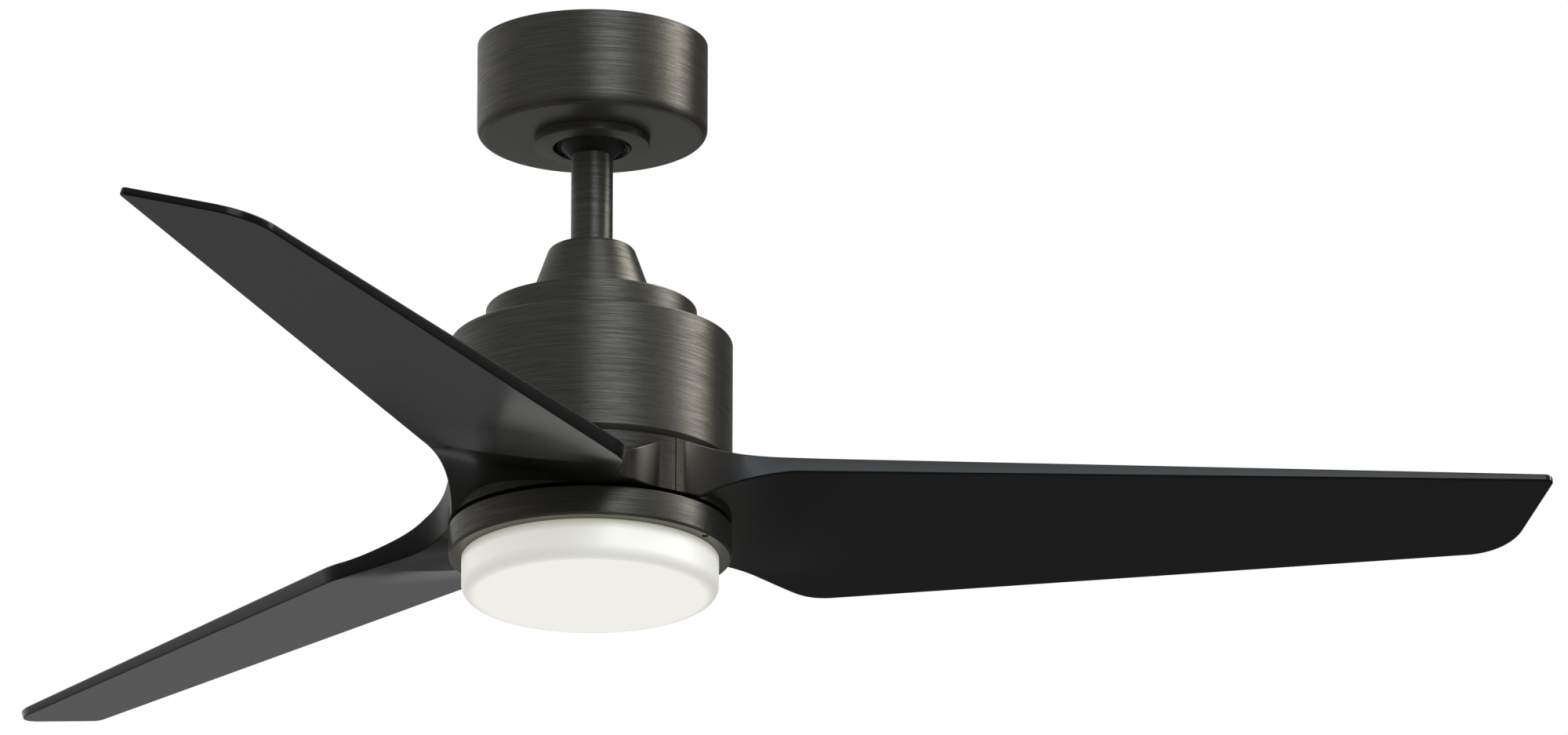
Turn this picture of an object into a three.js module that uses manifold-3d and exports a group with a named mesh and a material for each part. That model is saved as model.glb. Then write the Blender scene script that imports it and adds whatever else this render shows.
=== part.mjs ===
// Ceiling fan with light: hanger bracket, canopy, ball joint and downrod, outer-rotor motor,
// three moulded blades with wrapped hub roots, and an opal lamp below.
// Millimetres, +Z up. The origin is on the fan's axis, in the ceiling plane.
import * as THREE from 'three';
import { mergeVertices } from 'three/addons/utils/BufferGeometryUtils.js';
import Module from 'manifold-3d';

const wasm = await Module();
wasm.setup();

// ---- clearances and fineness ----
const BITE = 1; // how far joined shapes overlap, and how far a cutting shape passes a face
const SEAT_GAP = 0.3; // between two pieces that rest on or fit into each other
const RUN_GAP = 1.2; // between a turning piece and a fixed one
const BALL_GAP = 0.6; // between the shells of the ball joint
const ROUND = 32; // facets round a large revolve
const SMALL_ROUND = 14; // facets round a small revolve
const TINY_ROUND = 8; // facets round a screw or pin
const BALL_ROUND = 24; // facets round the ball joint
const MOTOR_ROUND = 20; // facets round the motor's inner pieces
const COVER_ROUND = 28; // facets round the coupling cover and the trim ring

// ---- canopy and its trim ring ----
const CANOPY_R = 79.4;
const CANOPY_H = 66.9;
const CANOPY_WALL = 1.2;
const CANOPY_EDGE_R = 5;
const CANOPY_HOLE_R = 31.5;
const CEILING_GAP = 0.5;
const TRIM_R = 39.8;
const TRIM_H = 7;
const TRIM_DISH = 2.4;
const TRIM_WALL = 1.2;
const TRIM_OPENING_R = 27;

// ---- ball joint ----
const BALL_R = 26.5;
const BALL_DEPTH = 58.8; // ball centre below the ceiling
const BALL_TOP_CUT = 22; // flat on the ball's top, above its centre
const LINER_WALL = 1.5;
const SEAT_WALL = 2;
const SEAT_LOW_ANGLE = 57; // degrees from straight down to the seat's lower lip
const SEAT_HIGH_ANGLE = 80;
const LINER_HIGH_ANGLE = 104;
const KEY_PEG_R = 2.8;
const KEY_CLEAR = 0.4;
const KEY_DEPTH = 2.4; // how far the peg enters the ball's groove
const GROOVE_ANGLE = 30; // the groove's reach each way from the equator

// ---- hanger bracket ----
const BRACKET_T = 2.5;
const BRACKET_W = 36;
const BRACKET_L = 116;
const BRACKET_SLOT_Y = 47;
const BRACKET_SLOT_W = 5;
const BRACKET_SLOT_L = 12;
const WIRE_HOLE_R = 7;
const WIRE_HOLE_CLEAR = 2; // between the receiver's side and a wire hole
const ARM_Y = 38.4; // inner face of each arm
const ARM_W = 30;
const FLANGE_T = 2.5;
const KEY_TAB_W = 12;
const KEY_TAB_CLEAR = 2.5; // between the liner and the tab that carries the peg
const KEY_TAB_RISE = 3; // the tab's height above the peg

// ---- receiver and small screws ----
const RECEIVER_L = 84;
const RECEIVER_W = 40;
const RECEIVER_H = 21;
const RECEIVER_CORNER = 3;
const SCREW_R = 2;
const SCREW_HEAD_R = 3.2;
const SCREW_HEAD_H = 2.2;
const CANOPY_SCREW_Y = 35;
const SET_SCREW_R = 2.5;
const HEX_R = 1.2; // socket in a set screw's end
const HEX_DEPTH = 1.5;
const CANOPY_SCREW_PROUD = 4; // shank past the bracket's flange

// ---- downrod, pins and coupling ----
const ROD_R = 14.4;
const ROD_WALL = 2.2;
const ROD_TOP = 22.5; // above the ball's centre, inside the ball
const ROD_LOW = 119; // below the ball's centre, inside the coupling
const PIN_R = 3;
const CROSS_PIN_L = 38;
const CROSS_PIN_UP = 8;
const BALL_SCREW_UP = 3; // the ball's set screw above its centre
const BALL_SCREW_SUNK = 1.5;
const COUPLING_R = 20;
const COUPLING_H = 36;
const COUPLING_FLANGE_R = 34;
const COUPLING_FLANGE_T = 4;
const COUPLING_FLOOR = 8;
const CLEVIS_PIN_UP = 17; // above the coupling's foot
const CLEVIS_PIN_L = 52;
const CLIP_WIRE_R = 0.9;
const SET_SCREW_UP = 27;
const SET_SCREW_PROUD = 2;
const COUPLING_FILLET = 2;
const CLIP_AT = 3; // from the coupling's side to the clip
const PIN_HEAD_T = 1.5;
const COUPLING_SCREW_PCD = 54;

// ---- coupling cover ----
const COVER_FOOT_R = 45;
const COVER_SHOULDER_R = 30.5;
const COVER_H = 45;
const COVER_SHOULDER_DROP = 4.5; // from the cover's top to where the cone starts
const COVER_EDGE_R = 6.5;
const COVER_WALL = 1.2;
const COVER_BORE_CLEAR = 0.7;

// ---- motor covers ----
const DROP = 133.7; // from the ball's centre to the top of the motor's upper cover
const TOP_COVER_R = 72.6;
const TOP_COVER_H = 23.8;
const TOP_COVER_WALL = 1.2;
const TOP_COVER_EDGE_R = 1.5;
const TOP_COVER_WIRE_CLEAR = 4; // its hole's rim beyond the shaft
const HOUSING_R = 97.4;
const HOUSING_H = 92.9;
const HOUSING_WALL = 1.5;
const HOUSING_EDGE_R = 2.5;
const HOUSING_CHAMFER = 3.4;
const HOUSING_HOLE_R = 62;

// ---- motor ----
const SHAFT_R = 9;
const SHAFT_BORE_R = 5.5;
const SHAFT_PROUD = 3; // below the lamp ring's top plate
const FRAME_DISC_R = 46;
const FRAME_T = 4;
const FRAME_HUB_R = 15;
const FRAME_FLANGE_R = 84;
const FRAME_THROAT_CLEAR = 1;
const ROTOR_R = 80;
const ROTOR_WALL = 3;
const ROTOR_PLATE_T = 4;
const ROTOR_DEPTH = 24; // from the housing's top plate to the rotor's top face
const ROTOR_BELL_H = 18;
const ROTOR_BEVEL = 2;
const MAGNET_H = 22;
const MAGNET_T = 5;
const BEARING_R = 14;
const BEARING_H = 10;
const BEARING_LIP = 2; // plate left outside the bearing
const BEARING_EDGE = 0.6;
const BOSS_WALL = 3;
const AIR_GAP = 0.8;
const STATOR_H = 20;
const STATOR_TEETH = 12;
const STATOR_YOKE_R = 38;
const TOOTH_W = 9;
const TOOTH_TIP_T = 4;
const TOOTH_SLOT_W = 5;
const WINDING_H = 7;
const WINDING_IN = 41;
const WINDING_EDGE = 2;
const ROTOR_SCREW_PCD = 60;

// ---- blade root and blade ----
// r runs along a blade from the fan's axis, c across it towards its trailing edge.
const BLADES = 3;
const REST_TURN = 6.5; // degrees from +X to the first blade
const ROOT_H = 37.7;
const ROOT_IN_R = 44;
const SEAM = 0.9; // gap between two neighbouring roots
const POCKET_IN_R = 52;
const POCKET_RIM = 6.4;
const POCKET_WEB = 6;
const POCKET_ANGLE = 54;
const BLADE_R = 658; // from the axis to the tip's leading corner, along the blade
const LEAD_OFFSET = 63.3; // the straight leading edge, from the blade's centre line
const LEAD_FILLET_R = 150;
const LEAD_CORNER_R = 6;
const TRAIL_OFFSET = 120; // the trailing edge's line, carried back to the axis
const TRAIL_TAPER = 0.145;
const WAIST_OFFSET = 66;
const WAIST_FILLET_R = 60;
const FLARE_SLOPE = 0.555;
const FLARE_CORNER_R = 45;
const TIP_SLANT = 0.185;
const TIP_CORNER_R = 40;
const PITCH_SLOPE = 0.253;
const RISE_SLOPE = 0.032;
const EDGE_LEAN = 0.2; // how far the edge walls lean for each mm of their height
const LEAN_START = 57;
const LEAN_REACH = 40;
const PLATE_DROP = 33.9; // underside of the plate below the root's top, carried to the axis
const PLATE_T = 12.65; // thickness of the plate, carried back to the axis
const PLATE_TAPER = 0.0111;
const LIP = 0.2; // step where the plate leaves the root's flat faces
const OVER_START = 53;
const OVER_REACH = 105;
const OVER_POWER = 1.6;
const UNDER_START = 67;
const UNDER_REACH = 70;
const UNDER_SKEW = 15; // how much later the underside swells at the trailing edge
const UNDER_POWER = 1.8;
const CREASE_R = 145;
const CREASE_DEPTH = 2.5;
const CREASE_REACH = 55;
const ROW_START = 50;
const HUB_DISC_R = 66;
const HUB_DISC_T = 6;
const HUB_COLLAR_RIM = 6; // beyond the circle of the rotor's screws
const BLADE_SCREW_R = 56;
const BLADE_SCREW_ANGLE = 40;

// ---- lamp ----
const LAMP_GAP = 2.5; // between the blade roots and the lamp's ring
const LAMP_R = HOUSING_R;
const LAMP_H = 20.8;
const LAMP_WALL = 1.2;
const LAMP_EDGE = 1.6;
const LAMP_MOUTH_R = LAMP_R - 16.4;
const LAMP_TOP_HOLE_R = 22;
const VENT_HOLE_R = 2.5;
const VENT_HOLE_AT = LAMP_R - 4.4;
const VENT_HOLE_ANGLE = -32.5;
const NOTCH_ANGLE = 20;
const LUG_ANGLE = 14;
const LUG_T = 1.6;
const LUG_REACH = 3;
const TWIST = 24;
const DIFFUSER_R = LAMP_R - 9;
const DIFFUSER_H = 27.1;
const DIFFUSER_WALL = 3;
const DIFFUSER_EDGE_R = 8;
const DIFFUSER_NECK_H = 6;
const LAMP_MOUNT_R = 40;
const LAMP_MOUNT_T = 3;
const LAMP_MOUNT_H = 20;
const LAMP_SCREW_PCD = 62;
const LED_PLATE_R = LAMP_MOUTH_R - 7;
const LED_PLATE_T = 1.2;
const LED_PLATE_DEPTH = 10; // below the lamp ring's top plate
const LED_LEG_R = 3;
const LED_LEG_PCD = 2 * LED_PLATE_R - 16;
const LED_BOARD_R = LED_PLATE_R - 6;
const LED_BOARD_T = 1.2;
const LED_CHIPS = 9;
const LED_CHIP_L = 3.5;
const LED_CHIP_W = 2.8;
const LED_CHIP_T = 0.8;
const LED_CHIP_PCD = 2 * LED_BOARD_R - 32;
const DRIVER_L = 60;
const DRIVER_W = 26;
const DRIVER_H = 8;
const DRIVER_AT = LED_PLATE_R - 28; // from the fan's axis

// ---- levels, all from the ceiling down ----
const BALL_Z = -BALL_DEPTH;
const CANOPY_LOW_Z = -CEILING_GAP - CANOPY_H;
const COVER_TOP_Z = BALL_Z - DROP;
const HOUSING_TOP_Z = COVER_TOP_Z - TOP_COVER_H;
const HOUSING_LOW_Z = HOUSING_TOP_Z - HOUSING_H;
const ROOT_TOP_Z = HOUSING_LOW_Z - RUN_GAP;
const ROOT_LOW_Z = ROOT_TOP_Z - ROOT_H;
const LAMP_TOP_Z = ROOT_LOW_Z - LAMP_GAP;
const LAMP_LOW_Z = LAMP_TOP_Z - LAMP_H;
const COUPLING_FOOT_Z = COVER_TOP_Z + SEAT_GAP;
const FRAME_TOP_Z = COVER_TOP_Z - TOP_COVER_WALL - SEAT_GAP;
const FRAME_FLANGE_Z = HOUSING_TOP_Z - HOUSING_WALL - SEAT_GAP;
const ROTOR_TOP_Z = HOUSING_TOP_Z - ROTOR_DEPTH;
const MAGNET_TOP_Z = ROTOR_TOP_Z - ROTOR_BELL_H - SEAT_GAP;
const MAGNET_LOW_Z = MAGNET_TOP_Z - MAGNET_H;
const ROTOR_LOW_Z = MAGNET_LOW_Z - SEAT_GAP - ROTOR_BELL_H;
const STATOR_MID_Z = (MAGNET_TOP_Z + MAGNET_LOW_Z) / 2;
const LAMP_MOUNT_LOW_Z = LAMP_TOP_Z + SEAT_GAP;
const SHAFT_LOW_Z = LAMP_TOP_Z - LAMP_WALL - SHAFT_PROUD;

const rad = THREE.MathUtils.degToRad;

// ---- small tools ----

// Points of a round stretch of a profile about (r, z), from one angle to another in degrees.
function arc(r, z, radius, from, to, steps) {
  const points = [];
  for (let i = 0; i <= steps; i += 1) {
    const a = rad(from + ((to - from) * i) / steps);
    points.push([r + radius * Math.cos(a), z + radius * Math.sin(a)]);
  }
  return points;
}

// Positions only, shared corners merged, flat slivers dropped and the faces turned outwards.
function tidy(geometry) {
  geometry.deleteAttribute('normal');
  geometry.deleteAttribute('uv');
  const merged = mergeVertices(geometry, 1e-4);
  const index = merged.index.array;
  const p = merged.attributes.position;
  const corner = [new THREE.Vector3(), new THREE.Vector3(), new THREE.Vector3()];
  const kept = [];
  let volume = 0;
  for (let i = 0; i < index.length; i += 3) {
    const t = [index[i], index[i + 1], index[i + 2]];
    if (t[0] === t[1] || t[1] === t[2] || t[2] === t[0]) {
      continue;
    }
    kept.push(...t);
    t.forEach((v, k) => corner[k].fromBufferAttribute(p, v));
    volume += corner[0].dot(corner[1].clone().cross(corner[2]));
  }
  if (volume < 0) {
    kept.reverse();
  }
  merged.setIndex(kept);
  return merged;
}

function toSolid(geometry) {
  const clean = tidy(geometry.clone());
  const mesh = new wasm.Mesh({
    numProp: 3,
    vertProperties: new Float32Array(clean.attributes.position.array),
    triVerts: new Uint32Array(clean.index.array),
  });
  return new wasm.Manifold(mesh);
}

function fromSolid(solid) {
  const mesh = solid.getMesh();
  const geometry = new THREE.BufferGeometry();
  geometry.setAttribute('position', new THREE.BufferAttribute(mesh.vertProperties, 3));
  geometry.setIndex(new THREE.BufferAttribute(mesh.triVerts, 1));
  return geometry;
}

function cut(geometry, ...tools) {
  return fromSolid(tools.reduce((whole, tool) => whole.subtract(toSolid(tool)), toSolid(geometry)));
}

function join(geometry, ...more) {
  return fromSolid(more.reduce((whole, piece) => whole.add(toSolid(piece)), toSolid(geometry)));
}

// A revolve about +Z of a closed profile of [radius, height] points.
function revolve(profile, facets = ROUND) {
  const points = profile.map(([r, z]) => new THREE.Vector2(Math.max(r, 0), z));
  if (profile[0][0] > 0 || profile[profile.length - 1][0] > 0) {
    points.push(points[0].clone());
  }
  return tidy(new THREE.LatheGeometry(points, facets).rotateX(Math.PI / 2));
}

// A ring of rectangular section.
function ring(inner, outer, low, high, facets = ROUND) {
  return revolve([[inner, low], [outer, low], [outer, high], [inner, high]], facets);
}

function disc(radius, low, high, facets = SMALL_ROUND) {
  return revolve([[0, low], [radius, low], [radius, high], [0, high]], facets);
}

function block(x, y, z, at = [0, 0, 0]) {
  return tidy(new THREE.BoxGeometry(x, y, z).translate(...at));
}

// A round bar along +Z between two heights, moved to (x, y).
function bar(radius, low, high, x = 0, y = 0, facets = TINY_ROUND) {
  return disc(radius, low, high, facets).translate(x, y, 0);
}

// Turns a piece made along +Z so that its top points outwards at an angle round the axis.
function pointOut(geometry, angle) {
  return geometry.rotateY(Math.PI / 2).rotateZ(rad(angle));
}

// A sector of a ring, between two angles in degrees.
function sector(inner, outer, low, high, from, to, segments = 3) {
  const shape = new THREE.Shape();
  shape.absarc(0, 0, outer, rad(from), rad(to), false);
  shape.absarc(0, 0, inner, rad(to), rad(from), true);
  const settings = { depth: high - low, bevelEnabled: false, curveSegments: segments };
  return tidy(new THREE.ExtrudeGeometry(shape, settings).translate(0, 0, low));
}

// A pan-head screw whose head's seat is at height 0 and whose shank points up.
function screw(shank, radius = SCREW_R, head = SCREW_HEAD_R) {
  const dome = SCREW_HEAD_H * 0.35;
  const profile = [[0, -SCREW_HEAD_H], [head - dome, -SCREW_HEAD_H], [head, -SCREW_HEAD_H + dome]];
  return revolve([...profile, [head, 0], [radius, 0], [radius, shank], [0, shank]], TINY_ROUND);
}

const fan = new THREE.Group();

// Adds a named piece, and returns its mesh so that it can be placed.
function add(name, geometry, colour, roughness, metalness, parent = fan) {
  const material = new THREE.MeshStandardMaterial({ color: colour, roughness, metalness });
  const shape = geometry.clone();
  shape.computeVertexNormals();
  const mesh = new THREE.Mesh(shape, material);
  mesh.name = name;
  parent.add(mesh);
  return mesh;
}

const BRONZE = 0x3c3a34;
const BLACK_ABS = 0x2a2a2a;
const ZINC = 0x9a9da0;
const STEEL = 0x6d7075;
const CAST = 0x4a4b4d;
const OPAL = 0xf1f1e6;

// ---- ceiling side ----

// Radii of the ball joint's shells, from the ball outwards.
const LINER_IN = BALL_R + BALL_GAP;
const LINER_OUT = LINER_IN + LINER_WALL;
const SEAT_IN = LINER_OUT + BALL_GAP;
const SEAT_OUT = SEAT_IN + SEAT_WALL;
const FLANGE_LOW_Z = CANOPY_LOW_Z + CANOPY_WALL + SEAT_GAP;
const FLANGE_HIGH_Z = FLANGE_LOW_Z + FLANGE_T;

// A shell of a sphere about the ball's centre, between two angles from straight down.
function sphereShell(inner, outer, low, high, steps) {
  const outside = arc(0, BALL_Z, outer, low - 90, high - 90, steps);
  const inside = arc(0, BALL_Z, inner, high - 90, low - 90, steps);
  return revolve([...outside, ...inside], BALL_ROUND);
}

function hangerBracket() {
  const plate = new THREE.Shape();
  const halfLength = BRACKET_L / 2 - BRACKET_W / 2;
  const wireY = RECEIVER_W / 2 + WIRE_HOLE_R + WIRE_HOLE_CLEAR;
  plate.absarc(0, halfLength, BRACKET_W / 2, 0, Math.PI, false);
  plate.absarc(0, -halfLength, BRACKET_W / 2, Math.PI, 2 * Math.PI, false);
  for (const side of [-1, 1]) {
    const reach = (BRACKET_SLOT_L - BRACKET_SLOT_W) / 2;
    const slot = new THREE.Path();
    slot.absarc(reach, side * BRACKET_SLOT_Y, BRACKET_SLOT_W / 2, -Math.PI / 2, Math.PI / 2, false);
    slot.absarc(-reach, side * BRACKET_SLOT_Y, BRACKET_SLOT_W / 2, Math.PI / 2, 1.5 * Math.PI, false);
    const wire = new THREE.Path();
    wire.absarc(0, side * wireY, WIRE_HOLE_R, 0, 2 * Math.PI, true);
    plate.holes.push(slot, wire);
  }
  const top = new THREE.ExtrudeGeometry(plate, {
    depth: BRACKET_T, bevelEnabled: false, curveSegments: 5,
  }).translate(0, 0, -BRACKET_T);
  const armHeight = -BRACKET_T - FLANGE_LOW_Z + BITE;
  const armMid = FLANGE_LOW_Z + armHeight / 2;
  const arms = [-1, 1].map((side) => (
    block(ARM_W, BRACKET_T, armHeight, [0, side * (ARM_Y + BRACKET_T / 2), armMid])));
  const flange = ring(SEAT_OUT - BITE, ARM_Y + BRACKET_T, FLANGE_LOW_Z, FLANGE_HIGH_Z, BALL_ROUND);
  const seat = sphereShell(SEAT_IN, SEAT_OUT, SEAT_LOW_ANGLE, SEAT_HIGH_ANGLE, 2);
  const tabX = LINER_OUT + KEY_TAB_CLEAR;
  const tabTop = BALL_Z + KEY_PEG_R + KEY_TAB_RISE;
  const tab = block(BRACKET_T, KEY_TAB_W, tabTop - FLANGE_LOW_Z,
    [tabX + BRACKET_T / 2, 0, (tabTop + FLANGE_LOW_Z) / 2]);
  const pegIn = BALL_R - KEY_DEPTH;
  const peg = bar(KEY_PEG_R, pegIn, tabX + BITE).rotateY(Math.PI / 2).translate(0, 0, BALL_Z);
  const body = join(top, ...arms, flange, seat, tab, peg);
  const entryReach = ARM_Y + BRACKET_T + BITE;
  const entryLow = FLANGE_LOW_Z - BALL_R;
  const entryHigh = BALL_Z + BALL_R / 2;
  const entry = block(entryReach, 2 * (ROD_R + RUN_GAP), entryHigh - entryLow,
    [-entryReach / 2, 0, (entryHigh + entryLow) / 2]);
  const screwHoles = [-1, 1].map((side) => (
    bar(SCREW_R + SEAT_GAP, FLANGE_LOW_Z - BITE, FLANGE_HIGH_Z + BITE, 0, side * CANOPY_SCREW_Y)));
  return cut(body, entry, ...screwHoles);
}

function canopy() {
  const top = -CEILING_GAP;
  const low = CANOPY_LOW_Z;
  const w = CANOPY_WALL;
  const corner = CANOPY_R - CANOPY_EDGE_R;
  const edge = low + CANOPY_EDGE_R;
  const outside = [[CANOPY_HOLE_R, low], ...arc(corner, edge, CANOPY_EDGE_R, -90, 0, 3), [CANOPY_R, top]];
  const inside = [[CANOPY_R - w, top], ...arc(corner, edge, CANOPY_EDGE_R - w, 0, -90, 2)];
  const shell = revolve([...outside, ...inside, [CANOPY_HOLE_R, low + w]]);
  const holes = [-1, 1].map((side) => (
    bar(SCREW_R + SEAT_GAP, low - BITE, low + w + BITE, 0, side * CANOPY_SCREW_Y)));
  return cut(shell, ...holes);
}

function trimRing() {
  const top = CANOPY_LOW_Z - SEAT_GAP;
  const low = top - TRIM_H;
  const w = TRIM_WALL;
  return revolve([
    [TRIM_R - w, top], [TRIM_R - w, low + w], [TRIM_OPENING_R, low - TRIM_DISH + w],
    [TRIM_OPENING_R, low - TRIM_DISH], [TRIM_R - w / 2, low], [TRIM_R, low + w / 2], [TRIM_R, top],
  ], COVER_ROUND);
}

function ballLiner() {
  const shell = sphereShell(LINER_IN, LINER_OUT, SEAT_LOW_ANGLE, LINER_HIGH_ANGLE, 4);
  const keyHole = bar(KEY_PEG_R + KEY_CLEAR, BALL_R - BITE, LINER_OUT + BITE)
    .rotateY(Math.PI / 2).translate(0, 0, BALL_Z);
  return cut(shell, keyHole);
}

function receiverBox() {
  const high = -BRACKET_T - SEAT_GAP;
  const shape = new THREE.Shape();
  const x = RECEIVER_L / 2;
  const y = RECEIVER_W / 2;
  const c = RECEIVER_CORNER;
  shape.moveTo(-x + c, -y);
  [[x - c, -y], [x, -y + c], [x, y - c], [x - c, y], [-x + c, y], [-x, y - c], [-x, -y + c]]
    .forEach(([px, py]) => shape.lineTo(px, py));
  return tidy(new THREE.ExtrudeGeometry(shape, { depth: RECEIVER_H, bevelEnabled: false })
    .translate(0, 0, high - RECEIVER_H));
}

add('hanger_bracket', hangerBracket(), ZINC, 0.45, 0.8);
add('canopy', canopy(), BRONZE, 0.4, 0.85);
add('canopy_trim_ring', trimRing(), BRONZE, 0.4, 0.85);
add('ball_liner', ballLiner(), 0x23231f, 0.6, 0);
add('receiver_box', receiverBox(), 0xe4e4e0, 0.5, 0);
[-1, 1].forEach((side, i) => {
  const shank = CANOPY_WALL + FLANGE_T + CANOPY_SCREW_PROUD;
  add(`canopy_screw_${i + 1}`, screw(shank), ZINC, 0.35, 0.9)
    .position.set(0, side * CANOPY_SCREW_Y, CANOPY_LOW_Z - SEAT_GAP);
});

// ---- ball, downrod and coupling ----

function hangerBall() {
  const lowAngle = THREE.MathUtils.radToDeg(Math.asin((ROD_R + SEAT_GAP) / BALL_R));
  const topAngle = THREE.MathUtils.radToDeg(Math.asin(BALL_TOP_CUT / BALL_R));
  const outside = arc(0, BALL_Z, BALL_R, lowAngle - 90, topAngle, 7);
  const bore = ROD_R + SEAT_GAP;
  const ball = revolve([...outside, [bore, BALL_Z + BALL_TOP_CUT]], BALL_ROUND);
  const slotLow = CROSS_PIN_UP - PIN_R - SEAT_GAP;
  const slotHeight = BALL_R - slotLow;
  const pinSlot = block(2 * (PIN_R + SEAT_GAP), CROSS_PIN_L + 2 * SEAT_GAP, slotHeight,
    [0, 0, BALL_Z + slotLow + slotHeight / 2]);
  const key = KEY_PEG_R + KEY_CLEAR;
  const groove = [];
  for (let a = -GROOVE_ANGLE; a <= GROOVE_ANGLE; a += GROOVE_ANGLE / 3) {
    groove.push(block(2 * (KEY_DEPTH + KEY_CLEAR), 2 * key, 2 * key + 1, [BALL_R, 0, 0])
      .rotateY(-rad(a)).translate(0, 0, BALL_Z));
  }
  const setHole = pointOut(bar(SET_SCREW_R + SEAT_GAP, 0, BALL_R + BITE), 180)
    .translate(0, 0, BALL_Z + BALL_SCREW_UP);
  return cut(ball, pinSlot, ...groove, setHole);
}

function downrod() {
  const tube = ring(ROD_R - ROD_WALL, ROD_R, BALL_Z - ROD_LOW, BALL_Z + ROD_TOP, SMALL_ROUND);
  const reach = ROD_R + BITE;
  const topHole = bar(PIN_R + SEAT_GAP, -reach, reach)
    .rotateX(Math.PI / 2).translate(0, 0, BALL_Z + CROSS_PIN_UP);
  const lowHole = bar(PIN_R + SEAT_GAP, -reach, reach)
    .rotateY(Math.PI / 2).translate(0, 0, COUPLING_FOOT_Z + CLEVIS_PIN_UP);
  return cut(tube, topHole, lowHole);
}

function coupling() {
  const foot = COUPLING_FOOT_Z;
  const top = foot + COUPLING_H;
  const socket = ROD_R + SEAT_GAP;
  const floor = foot + COUPLING_FLOOR;
  const wireBore = SHAFT_R;
  const fillet = COUPLING_FILLET;
  const bevel = fillet / 2;
  const body = revolve([
    [wireBore, foot], [COUPLING_FLANGE_R, foot], [COUPLING_FLANGE_R, foot + COUPLING_FLANGE_T],
    [COUPLING_R + fillet, foot + COUPLING_FLANGE_T], [COUPLING_R, foot + COUPLING_FLANGE_T + fillet],
    [COUPLING_R, top - bevel], [COUPLING_R - bevel, top], [socket, top], [socket, floor],
    [wireBore, floor],
  ], MOTOR_ROUND);
  const pinHole = bar(PIN_R + SEAT_GAP, -COUPLING_R - BITE, COUPLING_R + BITE)
    .rotateY(Math.PI / 2).translate(0, 0, foot + CLEVIS_PIN_UP);
  const setHoles = [90, 270].map((angle) => (
    pointOut(bar(SET_SCREW_R + SEAT_GAP, ROD_R, COUPLING_R + BITE), angle)
      .translate(0, 0, foot + SET_SCREW_UP)));
  const screwHoles = couplingScrewPlaces().map(([x, y]) => (
    bar(SCREW_R + SEAT_GAP, foot - BITE, foot + COUPLING_FLANGE_T + BITE, x, y)));
  return cut(body, pinHole, ...setHoles, ...screwHoles);
}

function ringPlaces(pcd, count, start = 0) {
  return Array.from({ length: count }, (_, i) => {
    const a = rad(start + (360 * i) / count);
    return [(pcd / 2) * Math.cos(a), (pcd / 2) * Math.sin(a)];
  });
}

function couplingScrewPlaces() {
  return ringPlaces(COUPLING_SCREW_PCD, 3, 30);
}

function clevisPin() {
  const half = CLEVIS_PIN_L / 2;
  const head = PIN_HEAD_T;
  const headR = PIN_R + PIN_HEAD_T;
  const tip = PIN_R / 5;
  const start = -COUPLING_R - SEAT_GAP - head;
  const pin = revolve([[0, start], [headR, start], [headR, start + head], [PIN_R, start + head],
    [PIN_R, half - tip], [PIN_R - tip, half], [0, half]], TINY_ROUND);
  const clipHole = bar(CLIP_WIRE_R + SEAT_GAP, -PIN_R - BITE, PIN_R + BITE, COUPLING_R + CLIP_AT);
  return cut(pin.rotateY(Math.PI / 2), clipHole).translate(0, 0, COUPLING_FOOT_Z + CLEVIS_PIN_UP);
}

// A hairpin of wire: the straight leg goes through the pin, and the bowed leg grips it outside.
function hairpinClip() {
  const x = COUPLING_R + CLIP_AT;
  const z = COUPLING_FOOT_Z + CLEVIS_PIN_UP;
  const over = PIN_R + CLIP_WIRE_R + SEAT_GAP;
  const path = new THREE.CatmullRomCurve3([
    [x, 0, z - 6], [x, 0, z], [x, 0, z + 6], [x, 1.2, z + 9], [x, 3.6, z + 9.4], [x, over, z + 6],
    [x, over + 0.4, z + 1], [x, over, z - 4],
  ].map((p) => new THREE.Vector3(...p)));
  const wire = new THREE.Shape();
  wire.absarc(0, 0, CLIP_WIRE_R, 0, 2 * Math.PI, false);
  return tidy(new THREE.ExtrudeGeometry(wire, {
    steps: 13, bevelEnabled: false, extrudePath: path, curveSegments: 5,
  }));
}

function setScrew(inner, outer) {
  const floor = outer - HEX_DEPTH;
  return revolve([[0, inner], [SET_SCREW_R, inner], [SET_SCREW_R, outer], [HEX_R, outer],
    [HEX_R, floor], [0, floor]], TINY_ROUND);
}

function couplingCover() {
  const foot = COVER_TOP_Z + SEAT_GAP;
  const top = foot + COVER_H;
  const w = COVER_WALL;
  const bore = ROD_R + COVER_BORE_CLEAR;
  const coneTop = top - COVER_SHOULDER_DROP;
  const slope = (COVER_FOOT_R - COVER_SHOULDER_R) / (COVER_H - COVER_SHOULDER_DROP);
  const lean = THREE.MathUtils.radToDeg(Math.atan(slope));
  const centreR = COVER_SHOULDER_R - COVER_EDGE_R * Math.cos(rad(lean));
  const centreZ = coneTop - COVER_EDGE_R * Math.sin(rad(lean));
  const crown = arc(centreR, centreZ, COVER_EDGE_R, lean, 90, 3);
  const under = arc(centreR, centreZ, COVER_EDGE_R - w, 90, lean, 2);
  const outside = [[COVER_FOOT_R, foot], ...crown, [bore, centreZ + COVER_EDGE_R]];
  const inside = [[bore, centreZ + COVER_EDGE_R - w], ...under, [COVER_FOOT_R - w, foot]];
  return revolve([...outside, ...inside], COVER_ROUND);
}

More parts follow.
